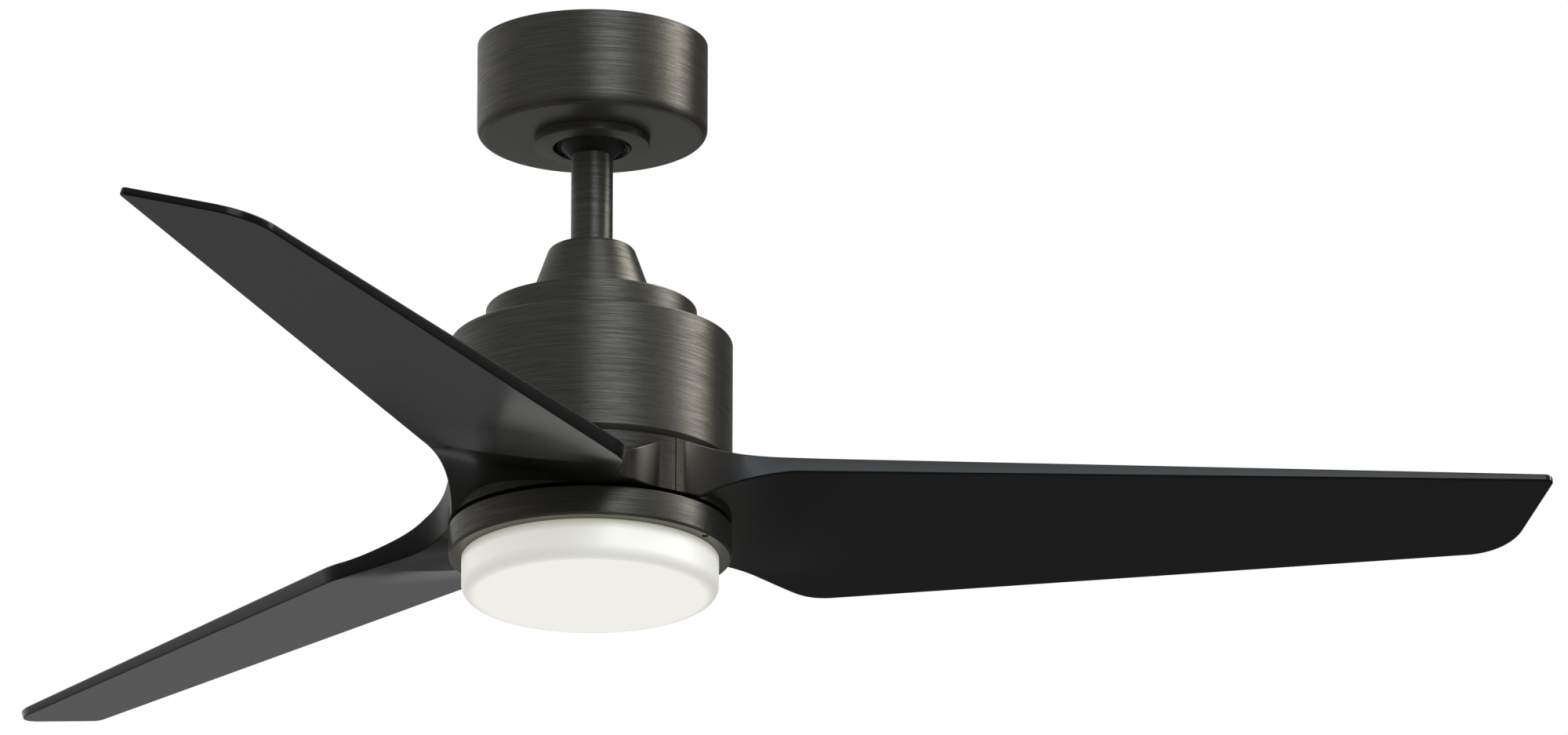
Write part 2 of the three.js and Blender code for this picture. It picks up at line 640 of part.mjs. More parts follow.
add('hanger_ball', hangerBall(), CAST, 0.5, 0.5);
const crossPin = bar(PIN_R, -CROSS_PIN_L / 2, CROSS_PIN_L / 2).rotateX(Math.PI / 2);
add('ball_cross_pin', crossPin, STEEL, 0.3, 0.9).position.z = BALL_Z + CROSS_PIN_UP;
const ballScrew = pointOut(setScrew(ROD_R + SEAT_GAP, BALL_R - BALL_SCREW_SUNK), 180);
add('ball_set_screw', ballScrew, STEEL, 0.3, 0.9).position.z = BALL_Z + BALL_SCREW_UP;
add('downrod', downrod(), BRONZE, 0.4, 0.85);
add('motor_coupling', coupling(), CAST, 0.5, 0.6);
add('clevis_pin', clevisPin(), STEEL, 0.3, 0.9);
add('hairpin_clip', hairpinClip(), STEEL, 0.3, 0.9);
[90, 270].forEach((angle, i) => {
  const piece = pointOut(setScrew(ROD_R + SEAT_GAP, COUPLING_R + SET_SCREW_PROUD), angle);
  add(`coupling_set_screw_${i + 1}`, piece, STEEL, 0.3, 0.9)
    .position.z = COUPLING_FOOT_Z + SET_SCREW_UP;
});
couplingScrewPlaces().forEach(([x, y], i) => {
  const shank = COUPLING_FLANGE_T + TOP_COVER_WALL + FRAME_T + 2 * SEAT_GAP;
  const piece = screw(shank).rotateX(Math.PI);
  add(`coupling_screw_${i + 1}`, piece, ZINC, 0.35, 0.9)
    .position.set(x, y, COUPLING_FOOT_Z + COUPLING_FLANGE_T + SEAT_GAP);
});
add('coupling_cover', couplingCover(), BRONZE, 0.4, 0.85);

// ---- motor covers and frame ----

function topCover() {
  const top = COVER_TOP_Z;
  const low = HOUSING_TOP_Z + SEAT_GAP;
  const w = TOP_COVER_WALL;
  const e = TOP_COVER_EDGE_R;
  const r = TOP_COVER_R;
  const hole = SHAFT_R + TOP_COVER_WIRE_CLEAR;
  const shell = revolve([
    [r, low], ...arc(r - e, top - e, e, 0, 90, 2), [hole, top], [hole, top - w],
    [r - w, top - w], [r - w, low],
  ]);
  const holes = couplingScrewPlaces().map(([x, y]) => (
    bar(SCREW_R + SEAT_GAP, top - w - BITE, top + BITE, x, y)));
  return cut(shell, ...holes);
}

function motorHousing() {
  const top = HOUSING_TOP_Z;
  const low = HOUSING_LOW_Z;
  const w = HOUSING_WALL;
  const e = HOUSING_EDGE_R;
  const c = HOUSING_CHAMFER;
  const r = HOUSING_R;
  return revolve([
    [HOUSING_HOLE_R, top], ...arc(r - e, top - e, e, 90, 0, 3), [r, low + c], [r - c, low],
    [r - c - w, low], [r - c - w, low + w / 2], [r - w, low + c + w / 2], [r - w, top - w],
    [HOUSING_HOLE_R, top - w],
  ]);
}

// The cast frame: a hub on the shaft, a disc under the upper cover, and a skirt whose
// flange carries the housing's top plate from below.
function motorFrame() {
  const top = FRAME_TOP_Z;
  const t = FRAME_T;
  const flange = FRAME_FLANGE_Z;
  const throat = HOUSING_HOLE_R - FRAME_THROAT_CLEAR;
  const bore = SHAFT_R + SEAT_GAP;
  const body = revolve([
    [bore, top], [FRAME_DISC_R, top], [throat, flange], [FRAME_FLANGE_R, flange],
    [FRAME_FLANGE_R, flange - t], [throat - t, flange - t], [FRAME_DISC_R - t, top - t],
    [FRAME_HUB_R, top - t], [FRAME_HUB_R, flange - t], [bore, flange - t],
  ], MOTOR_ROUND);
  const holes = couplingScrewPlaces().map(([x, y]) => (
    bar(SCREW_R + SEAT_GAP, top - t - BITE, top + BITE, x, y)));
  return cut(body, ...holes);
}

add('top_cover', topCover(), BRONZE, 0.4, 0.85);
add('motor_housing', motorHousing(), BRONZE, 0.4, 0.85);
add('motor_frame', motorFrame(), CAST, 0.6, 0.5);
add('motor_shaft', ring(SHAFT_BORE_R, SHAFT_R, SHAFT_LOW_Z, FRAME_TOP_Z, SMALL_ROUND), STEEL, 0.3, 0.9);

// ---- motor: fixed stator on the shaft, rotor bells round it ----

const MAGNET_OUT = ROTOR_R - ROTOR_WALL - SEAT_GAP;
const STATOR_R = MAGNET_OUT - MAGNET_T - AIR_GAP;
const BOSS_R = BEARING_R + SEAT_GAP + BOSS_WALL;

function statorCore() {
  const shape = new THREE.Shape();
  const pitch = (2 * Math.PI) / STATOR_TEETH;
  const neck = STATOR_R - TOOTH_TIP_T;
  const tipHalf = pitch / 2 - TOOTH_SLOT_W / 2 / STATOR_R;
  for (let i = 0; i < STATOR_TEETH; i += 1) {
    const mid = i * pitch;
    const rootHalf = Math.asin(TOOTH_W / 2 / STATOR_YOKE_R);
    const neckHalf = Math.asin(TOOTH_W / 2 / neck);
    const outline = [[STATOR_YOKE_R, -rootHalf], [neck, -neckHalf], [neck + 2, -tipHalf],
      [STATOR_R, -tipHalf], [STATOR_R, 0], [STATOR_R, tipHalf], [neck + 2, tipHalf], [neck, neckHalf],
      [STATOR_YOKE_R, rootHalf]];
    outline.forEach(([r, a], k) => {
      const x = r * Math.cos(mid + a);
      const y = r * Math.sin(mid + a);
      if (i === 0 && k === 0) {
        shape.moveTo(x, y);
      } else {
        shape.lineTo(x, y);
      }
    });
  }
  shape.closePath();
  const bore = new THREE.Path();
  bore.absarc(0, 0, SHAFT_R + SEAT_GAP, 0, 2 * Math.PI, true);
  shape.holes.push(bore);
  return tidy(new THREE.ExtrudeGeometry(shape, { depth: STATOR_H, bevelEnabled: false, curveSegments: 8 })
    .translate(0, 0, STATOR_MID_Z - STATOR_H / 2));
}

// A coil end: a ring with rounded outer corners, bound over the teeth on one face of the core.
function winding(side) {
  const seat = STATOR_MID_Z + side * (STATOR_H / 2 + SEAT_GAP);
  const far = seat + side * WINDING_H;
  const out = STATOR_R - TOOTH_TIP_T;
  const c = WINDING_EDGE;
  return revolve([[WINDING_IN, seat], [out, seat], [out, far - side * c], [out - c, far],
    [WINDING_IN + c, far], [WINDING_IN, far - side * c]], MOTOR_ROUND);
}

// One end bell of the rotor, with the bearing's boss in its plate.
function rotorBell(plateZ, side) {
  const inner = plateZ - side * ROTOR_PLATE_T;
  const rim = plateZ - side * ROTOR_BELL_H;
  const lip = plateZ - side * BEARING_LIP;
  const boss = lip - side * BEARING_H;
  const mouth = SHAFT_R + RUN_GAP;
  const bell = revolve([
    [mouth, plateZ], [ROTOR_R - ROTOR_BEVEL, plateZ], [ROTOR_R, plateZ - side * ROTOR_BEVEL],
    [ROTOR_R, rim], [ROTOR_R - ROTOR_WALL, rim], [ROTOR_R - ROTOR_WALL, inner], [BOSS_R, inner],
    [BOSS_R, boss], [BEARING_R + SEAT_GAP, boss], [BEARING_R + SEAT_GAP, lip], [mouth, lip],
  ], MOTOR_ROUND);
  return bell;
}

function bearing(plateZ, side) {
  const seat = plateZ - side * (BEARING_LIP + SEAT_GAP);
  const far = seat - side * BEARING_H;
  const inner = SHAFT_R + SEAT_GAP;
  const edge = BEARING_EDGE;
  return revolve([
    [inner, seat], [BEARING_R - edge, seat], [BEARING_R, seat - side * edge], [BEARING_R, far], [inner, far],
  ], SMALL_ROUND);
}

function rotorScrewPlaces() {
  return ringPlaces(ROTOR_SCREW_PCD, 3, 60);
}

add('stator_core', statorCore(), 0x56585c, 0.5, 0.7);
add('winding_upper', winding(1), 0x9a5a2c, 0.4, 0.6);
add('winding_lower', winding(-1), 0x9a5a2c, 0.4, 0.6);
add('bearing_upper', bearing(ROTOR_TOP_Z, 1), STEEL, 0.25, 0.95);
add('bearing_lower', bearing(ROTOR_LOW_Z, -1), STEEL, 0.25, 0.95);
const magnets = ring(MAGNET_OUT - MAGNET_T, MAGNET_OUT, MAGNET_LOW_Z, MAGNET_TOP_Z);
add('magnet_ring', magnets, 0x2f3033, 0.5, 0.6);
add('rotor_upper', rotorBell(ROTOR_TOP_Z, 1), 0x8c8f92, 0.5, 0.8);

const HUB_DISC_LOW_Z = ROOT_TOP_Z + SEAT_GAP;

function rotorLower() {
  const holes = rotorScrewPlaces().map(([x, y]) => (
    bar(SCREW_R + SEAT_GAP, ROTOR_LOW_Z - BITE, ROTOR_LOW_Z + ROTOR_PLATE_T + BITE, x, y)));
  return cut(rotorBell(ROTOR_LOW_Z, -1), ...holes);
}

// The hub that the blades bolt to: a disc under the blades' level, on a collar below the rotor.
function bladeHub() {
  const low = HUB_DISC_LOW_Z;
  const high = ROTOR_LOW_Z - SEAT_GAP;
  const bore = SHAFT_R + RUN_GAP;
  const collar = ROTOR_SCREW_PCD / 2 + HUB_COLLAR_RIM;
  const body = revolve([[bore, low], [HUB_DISC_R, low], [HUB_DISC_R, low + HUB_DISC_T],
    [collar, low + HUB_DISC_T], [collar, high], [bore, high]], MOTOR_ROUND);
  const hole = SCREW_R + SEAT_GAP;
  const rotorHoles = rotorScrewPlaces().map(([x, y]) => bar(hole, low - BITE, high + BITE, x, y));
  const bladeHoles = bladeScrewPlaces().map(([x, y]) => (
    bar(hole, low - BITE, low + HUB_DISC_T + BITE, x, y)));
  return cut(body, ...rotorHoles, ...bladeHoles);
}

// ---- blade ----

const clamp01 = (x) => Math.min(Math.max(x, 0), 1);

// Distance of the leading edge from the blade's centre line, at r along the blade: just inside
// the root's circle, then a concave fillet that is tangent to it, then the straight edge.
function leadEdge(r) {
  const centre = LEAD_OFFSET + LEAD_FILLET_R;
  const straightR = Math.sqrt((HOUSING_R + LEAD_FILLET_R) ** 2 - centre ** 2);
  if (r < (straightR * HOUSING_R) / (HOUSING_R + LEAD_FILLET_R)) {
    return Math.sqrt((HOUSING_R - 1) ** 2 - r ** 2);
  }
  return r < straightR ? centre - Math.sqrt(LEAD_FILLET_R ** 2 - (r - straightR) ** 2) : LEAD_OFFSET;
}

// The same for the trailing edge: inside the root's circle, a concave waist, a straight flare,
// a rounded corner, and the line that tapers to the tip.
function trailEdge(r) {
  const centre = WAIST_OFFSET + WAIST_FILLET_R;
  const waistR = Math.sqrt((HOUSING_R + WAIST_FILLET_R) ** 2 - centre ** 2);
  const flareAngle = Math.atan(FLARE_SLOPE);
  const taperAngle = Math.atan(TRAIL_TAPER);
  const flareR = waistR + WAIST_FILLET_R * Math.sin(flareAngle);
  const flareC = centre - WAIST_FILLET_R * Math.cos(flareAngle);
  const flare = (x) => flareC + FLARE_SLOPE * (x - flareR);
  const cornerR = (TRAIL_OFFSET - flare(0)) / (FLARE_SLOPE + TRAIL_TAPER);
  const reach = FLARE_CORNER_R * Math.tan((flareAngle + taperAngle) / 2);
  const startR = cornerR - reach * Math.cos(flareAngle);
  const endR = cornerR + reach * Math.cos(taperAngle);
  if (r < (waistR * HOUSING_R) / (HOUSING_R + WAIST_FILLET_R)) {
    return Math.sqrt((HOUSING_R - 1) ** 2 - r ** 2);
  }
  if (r < flareR) {
    return centre - Math.sqrt(WAIST_FILLET_R ** 2 - (r - waistR) ** 2);
  }
  if (r < startR) {
    return flare(r);
  }
  if (r < endR) {
    const centreR = startR + FLARE_CORNER_R * Math.sin(flareAngle);
    const centreC = flare(startR) - FLARE_CORNER_R * Math.cos(flareAngle);
    return centreC + Math.sqrt(FLARE_CORNER_R ** 2 - (r - centreR) ** 2);
  }
  return TRAIL_OFFSET - TRAIL_TAPER * r;
}

// Height of the pitched plate's underside.
function plateUnder(r, c) {
  return ROOT_TOP_Z - PLATE_DROP - PITCH_SLOPE * c + RISE_SLOPE * r;
}

// The root's flat underside swells into the plate's, sooner at the leading edge. Where the
// swell ends the plate stands a little lower, in a shallow crease that fades to both edges.
function under(r, c) {
  const across = clamp01((c + LEAD_OFFSET) / (2 * LEAD_OFFSET));
  const u = clamp01((r - UNDER_START - UNDER_SKEW * across) / (UNDER_REACH + UNDER_SKEW * across));
  const swell = 1 - (1 - u) ** UNDER_POWER;
  const inside = clamp01((r - HOUSING_R) / (CREASE_R - HOUSING_R)) ** 2;
  const outside = clamp01(1 - (r - CREASE_R) / CREASE_REACH) ** 2;
  const crease = CREASE_DEPTH * Math.min(inside, outside) * Math.sin(Math.PI * across);
  const flat = ROOT_LOW_Z + LIP;
  return flat + swell * (plateUnder(r, c) - flat) - crease;
}

// The root's flat top falls to the plate's top.
function over(r, c) {
  const swell = 1 - (1 - clamp01((r - OVER_START) / OVER_REACH)) ** OVER_POWER;
  const flat = ROOT_TOP_Z - LIP;
  return flat + swell * (plateUnder(r, c) + PLATE_T - PLATE_TAPER * r - flat);
}

// Stations from inside the root to the tip, each with its leading and trailing end as [r, c].
function bladeStations() {
  const stations = [];
  const across = (r) => stations.push([[r, -leadEdge(r)], [r, trailEdge(r)]]);
  [ROW_START, 66, 80, 91, 102, 113, 124, CREASE_R, 160, 178, 200].forEach(across);
  // The tip: a slanted edge between a small leading corner and a large trailing one.
  const slant = Math.atan(TIP_SLANT);
  const taper = Math.atan(TRAIL_TAPER);
  const tipC = (TRAIL_OFFSET - TRAIL_TAPER * (BLADE_R - TIP_SLANT * LEAD_OFFSET))
    / (1 - TRAIL_TAPER * TIP_SLANT);
  const tipR = BLADE_R - TIP_SLANT * (tipC + LEAD_OFFSET);
  const turn = Math.PI / 2 - slant - taper;
  const reach = TIP_CORNER_R * Math.tan(turn / 2);
  const startR = tipR - reach * Math.cos(taper);
  const startC = tipC + reach * Math.sin(taper);
  across(startR);
  const centreR = startR - TIP_CORNER_R * Math.sin(taper);
  const centreC = startC - TIP_CORNER_R * Math.cos(taper);
  const straight = 3;
  const steps = 5;
  const leadTurn = Math.PI / 2 - slant;
  const leadReach = LEAD_CORNER_R * Math.tan(leadTurn / 2);
  for (let i = 1; i <= steps; i += 1) {
    const a = Math.PI / 2 - taper - (turn * i) / steps;
    const b = leadTurn * clamp01((i - straight) / (steps - straight));
    const leadR = BLADE_R - leadReach;
    const lead = i <= straight
      ? [startR + ((leadR - startR) * i) / straight, -LEAD_OFFSET]
      : [leadR + LEAD_CORNER_R * Math.sin(b), -LEAD_OFFSET + LEAD_CORNER_R * (1 - Math.cos(b))];
    stations.push([lead, [centreR + TIP_CORNER_R * Math.cos(a), centreC + TIP_CORNER_R * Math.sin(a)]]);
  }
  return stations;
}

// The pitched plate: two heights over one plan of stations and columns, closed by edge walls
// that lean towards the trailing edge, as walls square to the pitched plate do.
function bladePlate() {
  const stations = bladeStations();
  const columns = 7;
  const upper = [];
  const lower = [];
  for (const [lead, trail] of stations) {
    for (let j = 0; j < columns; j += 1) {
      const t = j / (columns - 1);
      const r = lead[0] + (trail[0] - lead[0]) * t;
      const c = lead[1] + (trail[1] - lead[1]) * t;
      const low = under(r, c);
      const high = over(r, c);
      const lean = EDGE_LEAN * clamp01((r - LEAN_START) / LEAN_REACH) * (high - low);
      upper.push(r, c + lean, high);
      lower.push(r, c, low);
    }
  }
  const half = upper.length / 3;
  const indices = [];
  const quad = (a, b, c, d) => indices.push(a, b, c, a, c, d);
  for (let i = 0; i < stations.length - 1; i += 1) {
    for (let j = 0; j < columns - 1; j += 1) {
      const k = i * columns + j;
      quad(k, k + columns, k + columns + 1, k + 1);
      quad(half + k, half + k + 1, half + k + columns + 1, half + k + columns);
    }
    const e = i * columns + columns - 1;
    quad(i * columns, half + i * columns, half + (i + 1) * columns, (i + 1) * columns);
    quad(e, e + columns, half + e + columns, half + e);
  }
  for (let j = 0; j < columns - 1; j += 1) {
    const k = (stations.length - 1) * columns + j;
    quad(j, j + 1, half + j + 1, half + j);
    quad(k, half + k, half + k + 1, k + 1);
  }
  const geometry = new THREE.BufferGeometry();
  geometry.setAttribute('position', new THREE.BufferAttribute(new Float32Array([...upper, ...lower]), 3));
  geometry.setIndex(indices);
  return tidy(geometry);
}

// A third of a ring, with a gap left along both of its ends.
function rootSector() {
  const third = Math.PI / BLADES;
  const outer = third - Math.asin(SEAM / 2 / HOUSING_R);
  const inner = third - Math.asin(SEAM / 2 / ROOT_IN_R);
  const shape = new THREE.Shape();
  shape.absarc(0, 0, HOUSING_R, -outer, outer, false);
  shape.absarc(0, 0, ROOT_IN_R, inner, -inner, true);
  return tidy(new THREE.ExtrudeGeometry(shape, { depth: ROOT_H, bevelEnabled: false, curveSegments: 9 })
    .translate(0, 0, ROOT_LOW_Z));
}

// A blade: its third of the hub's ring, hollowed from below, and the plate that grows out of it.
function blade() {
  const pocket = sector(POCKET_IN_R, HOUSING_R - POCKET_RIM, ROOT_LOW_Z - BITE, ROOT_TOP_Z - POCKET_WEB,
    -POCKET_ANGLE, POCKET_ANGLE, 6);
  const holes = [-1, 1].map((side) => {
    const a = rad(side * BLADE_SCREW_ANGLE);
    return bar(SCREW_R + SEAT_GAP, ROOT_TOP_Z - POCKET_WEB - BITE, ROOT_TOP_Z + BITE,
      BLADE_SCREW_R * Math.cos(a), BLADE_SCREW_R * Math.sin(a));
  });
  return cut(join(rootSector(), bladePlate()), pocket, ...holes);
}

function bladeScrewPlaces() {
  const places = [];
  for (let i = 0; i < BLADES; i += 1) {
    for (const side of [-1, 1]) {
      const a = rad(REST_TURN + (360 * i) / BLADES + side * BLADE_SCREW_ANGLE);
      places.push([BLADE_SCREW_R * Math.cos(a), BLADE_SCREW_R * Math.sin(a)]);
    }
  }
  return places;
}

add('rotor_lower', rotorLower(), 0x8c8f92, 0.5, 0.8);
add('blade_hub', bladeHub(), CAST, 0.5, 0.6);
rotorScrewPlaces().forEach(([x, y], i) => {
  const shank = ROTOR_LOW_Z - HUB_DISC_LOW_Z + ROTOR_PLATE_T;
  add(`rotor_screw_${i + 1}`, screw(shank + SEAT_GAP), ZINC, 0.35, 0.9)
    .position.set(x, y, HUB_DISC_LOW_Z - SEAT_GAP);
});
const oneBlade = blade();
for (let i = 0; i < BLADES; i += 1) {
  add(`blade_${i + 1}`, oneBlade, BLACK_ABS, 0.45, 0).rotation.z = rad(REST_TURN + (360 * i) / BLADES);
}
bladeScrewPlaces().forEach(([x, y], i) => {
  add(`blade_screw_${i + 1}`, screw(POCKET_WEB + HUB_DISC_T), ZINC, 0.35, 0.9)
    .position.set(x, y, ROOT_TOP_Z - POCKET_WEB - SEAT_GAP);
});

// ---- lamp ----

function lampMount() {
  const low = LAMP_MOUNT_LOW_Z;
  const bore = SHAFT_R + SEAT_GAP;
  const hub = FRAME_HUB_R;
  const body = revolve([[bore, low], [LAMP_MOUNT_R, low], [LAMP_MOUNT_R, low + LAMP_MOUNT_T],
    [hub, low + LAMP_MOUNT_T], [hub, low + LAMP_MOUNT_H], [bore, low + LAMP_MOUNT_H]], MOTOR_ROUND);
  const holes = lampScrewPlaces().map(([x, y]) => (
    bar(SCREW_R + SEAT_GAP, low - BITE, low + LAMP_MOUNT_T + BITE, x, y)));
  return cut(body, ...holes);
}

function lampScrewPlaces() {
  return ringPlaces(LAMP_SCREW_PCD, 3, 90);
}

function lightRing() {
  const top = LAMP_TOP_Z;
  const low = LAMP_LOW_Z;
  const w = LAMP_WALL;
  const e = LAMP_EDGE;
  const r = LAMP_R;
  const shell = revolve([
    [LAMP_TOP_HOLE_R, top], [r - e / 2, top], [r, top - e / 2], [r, low + e], [r - e, low],
    [LAMP_MOUTH_R, low], [LAMP_MOUTH_R, low + w], [r - w, low + w], [r - w, top - w],
    [LAMP_TOP_HOLE_R, top - w],
  ]);
  const screwHoles = lampScrewPlaces().map(([x, y]) => (
    bar(SCREW_R + SEAT_GAP, top - w - BITE, top + BITE, x, y)));
  const notches = [0, 120, 240].map((at) => (
    sector(LAMP_MOUTH_R - BITE, LAMP_MOUTH_R + LUG_REACH + SEAT_GAP, low - BITE, low + w + BITE,
      at - TWIST - NOTCH_ANGLE / 2, at - TWIST + NOTCH_ANGLE / 2)));
  const a = rad(VENT_HOLE_ANGLE);
  const hole = bar(VENT_HOLE_R, low - BITE, low + w + BITE,
    VENT_HOLE_AT * Math.cos(a), VENT_HOLE_AT * Math.sin(a));
  return cut(shell, ...screwHoles, ...notches, hole);
}

function opalDiffuser() {
  const top = LAMP_LOW_Z - SEAT_GAP;
  const low = top - DIFFUSER_H;
  const w = DIFFUSER_WALL;
  const e = DIFFUSER_EDGE_R;
  const r = DIFFUSER_R;
  const neck = LAMP_MOUTH_R - SEAT_GAP * 2;
  const neckTop = top + DIFFUSER_NECK_H;
  const bowl = revolve([
    [0, low], ...arc(r - e, low + e, e, -90, 0, 3), [r, top], [neck, top], [neck, neckTop],
    [neck - w, neckTop], [neck - w, top - w], [r - w, top - w],
    ...arc(r - e, low + e, e - w, 0, -90, 2), [0, low + w],
  ]);
  const lugLow = LAMP_LOW_Z + LAMP_WALL + SEAT_GAP;
  const lugs = [0, 120, 240].map((at) => (
    sector(neck - BITE, LAMP_MOUTH_R + LUG_REACH - SEAT_GAP, lugLow, lugLow + LUG_T,
      at - LUG_ANGLE / 2, at + LUG_ANGLE / 2)));
  return join(bowl, ...lugs);
}

// The plate that carries the light board, with three legs up to the lamp ring's top plate.
function ledPlate() {
  const high = LAMP_TOP_Z - LAMP_WALL - LED_PLATE_DEPTH;
  const plate = disc(LED_PLATE_R, high - LED_PLATE_T, high, MOTOR_ROUND);
  const legs = ringPlaces(LED_LEG_PCD, 3, 30).map(([x, y]) => (
    bar(LED_LEG_R, high - LED_PLATE_T / 2, LAMP_TOP_Z - LAMP_WALL - SEAT_GAP, x, y)));
  return join(plate, ...legs);
}

function ledBoard() {
  const high = LAMP_TOP_Z - LAMP_WALL - LED_PLATE_DEPTH - LED_PLATE_T - SEAT_GAP;
  const board = disc(LED_BOARD_R, high - LED_BOARD_T, high, MOTOR_ROUND);
  const chips = Array.from({ length: LED_CHIPS }, (_, i) => (
    block(LED_CHIP_L, LED_CHIP_W, 2 * LED_CHIP_T, [LED_CHIP_PCD / 2, 0, high - LED_BOARD_T])
      .rotateZ((2 * Math.PI * i) / LED_CHIPS)));
  return join(board, ...chips);
}

add('light_mount', lampMount(), CAST, 0.5, 0.6);
add('light_ring', lightRing(), BRONZE, 0.4, 0.85);
lampScrewPlaces().forEach(([x, y], i) => {
  add(`light_ring_screw_${i + 1}`, screw(LAMP_WALL + LAMP_MOUNT_T + SEAT_GAP), ZINC, 0.35, 0.9)
    .position.set(x, y, LAMP_TOP_Z - LAMP_WALL - SEAT_GAP);
});
add('led_plate', ledPlate(), 0xc9cbcc, 0.4, 0.9);
add('led_board', ledBoard(), 0xe9e9e4, 0.5, 0);
const driverHigh = LAMP_TOP_Z - LAMP_WALL - SEAT_GAP;
add('led_driver', block(DRIVER_L, DRIVER_W, DRIVER_H), 0xdcdcd8, 0.5, 0)
  .position.set(0, -DRIVER_AT, driverHigh - DRIVER_H / 2);
add('opal_diffuser', opalDiffuser(), OPAL, 0.15, 0);

export default fan;
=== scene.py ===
import math

import bpy
import numpy as np
from mathutils import Matrix, Vector


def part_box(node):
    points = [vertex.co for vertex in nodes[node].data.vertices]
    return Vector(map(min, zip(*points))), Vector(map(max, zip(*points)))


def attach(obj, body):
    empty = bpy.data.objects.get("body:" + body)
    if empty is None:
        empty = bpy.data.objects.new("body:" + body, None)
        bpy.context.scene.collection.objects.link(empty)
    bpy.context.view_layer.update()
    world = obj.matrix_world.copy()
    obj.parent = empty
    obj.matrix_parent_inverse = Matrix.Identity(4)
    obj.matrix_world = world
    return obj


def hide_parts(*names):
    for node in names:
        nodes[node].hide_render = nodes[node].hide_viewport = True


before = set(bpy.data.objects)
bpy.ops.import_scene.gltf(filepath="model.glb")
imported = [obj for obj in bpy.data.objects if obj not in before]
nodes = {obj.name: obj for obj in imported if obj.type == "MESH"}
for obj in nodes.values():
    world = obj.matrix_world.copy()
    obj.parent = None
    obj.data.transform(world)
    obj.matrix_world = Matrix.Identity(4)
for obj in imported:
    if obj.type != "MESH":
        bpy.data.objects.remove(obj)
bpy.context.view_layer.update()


# ---- Hanger bracket ----
# Stamped and welded steel, zinc plated and passivated black. Two screws through its slots hold
# it to the ceiling box, and its cup carries the ball.

def linear(code):
    """A colour written as an sRGB hex code, as linear red, green, blue and alpha."""
    parts = [int(code[i:i + 2], 16) / 255 for i in (0, 2, 4)]
    return [p / 12.92 if p <= 0.04045 else ((p + 0.055) / 1.055) ** 2.4 for p in parts] + [1.0]


def add_node(material, kind, inputs=None, **settings):
    """Adds a shader node. Each input is a value, or an output socket that is linked to it."""
    tree = material.node_tree
    made = tree.nodes.new("ShaderNode" + kind)
    for name, value in settings.items():
        setattr(made, name, value)
    for name, value in (inputs or {}).items():
        if isinstance(value, bpy.types.NodeSocket):
            tree.links.new(value, made.inputs[name])
        else:
            made.inputs[name].default_value = value
    return made


def new_material(name):
    """An empty material, its output node and the object's own coordinates in metres."""
    material = bpy.data.materials.new(name)
    material.use_nodes = True
    material.node_tree.nodes.clear()
    output = add_node(material, "OutputMaterial")
    place = add_node(material, "TexCoord").outputs["Object"]
    return material, output, place


def two_tone(material, factor, first, second):
    """A colour that goes from the first hex code to the second as the factor goes from 0 to 1."""
    mix = add_node(material, "Mix", {0: factor}, data_type="RGBA")
    mix.inputs[6].default_value = linear(first)
    mix.inputs[7].default_value = linear(second)
    return mix.outputs[2]


def span(material, value, low, high, to_low, to_high):
    """A value from low to high, spread evenly from to_low to to_high and held there beyond."""
    spread = add_node(material, "MapRange", {
        "Value": value, "From Min": low, "From Max": high, "To Min": to_low, "To Max": to_high})
    return spread.outputs["Result"]


def noise(material, place, scale, detail, roughness=0.5):
    """Soft noise from 0 to 1, with a scale in cells for each metre."""
    made = add_node(material, "TexNoise", {
        "Vector": place, "Scale": scale, "Detail": detail, "Roughness": roughness})
    return made.outputs["Fac"]


def surfaced(material, output, inputs):
    """Gives a material its surface, a principled shader with these inputs, and returns it."""
    surface = add_node(material, "BsdfPrincipled", inputs)
    material.node_tree.links.new(surface.outputs["BSDF"], output.inputs["Surface"])
    return material


def dress(material, *names):
    """Gives a material to CAD nodes that are shown as they are."""
    for name in names:
        mesh = nodes[name].data
        mesh.materials.clear()
        mesh.materials.append(material)


def zinc_plated_steel(name, first, second):
    """Zinc plating, bright or passivated black, in which crystals a few millimetres wide show
    faintly."""
    material, output, place = new_material(name)
    grains = add_node(material, "TexVoronoi", {"Vector": place, "Scale": 260.0})
    shade = add_node(material, "SeparateColor", {"Color": grains.outputs["Color"]}).outputs["Red"]
    cloud = noise(material, place, 90.0, 3.0)
    return surfaced(material, output, {
        "Base Color": two_tone(material, shade, first, second),
        "Roughness": span(material, cloud, 0.3, 0.7, 0.3, 0.46), "Metallic": 1.0})


dress(zinc_plated_steel("black_zinc_plated_steel", "2c2d2f", "38393b"), "hanger_bracket")
ZINC = zinc_plated_steel("zinc_plated_steel", "a4a8ab", "b9bcbe")


# ---- Canopy ----
# A deep cup spun from steel sheet, brushed round and plated a dark bronze, with a plain satin
# underside. It covers the bracket, and two screws under its trim ring hold it up.

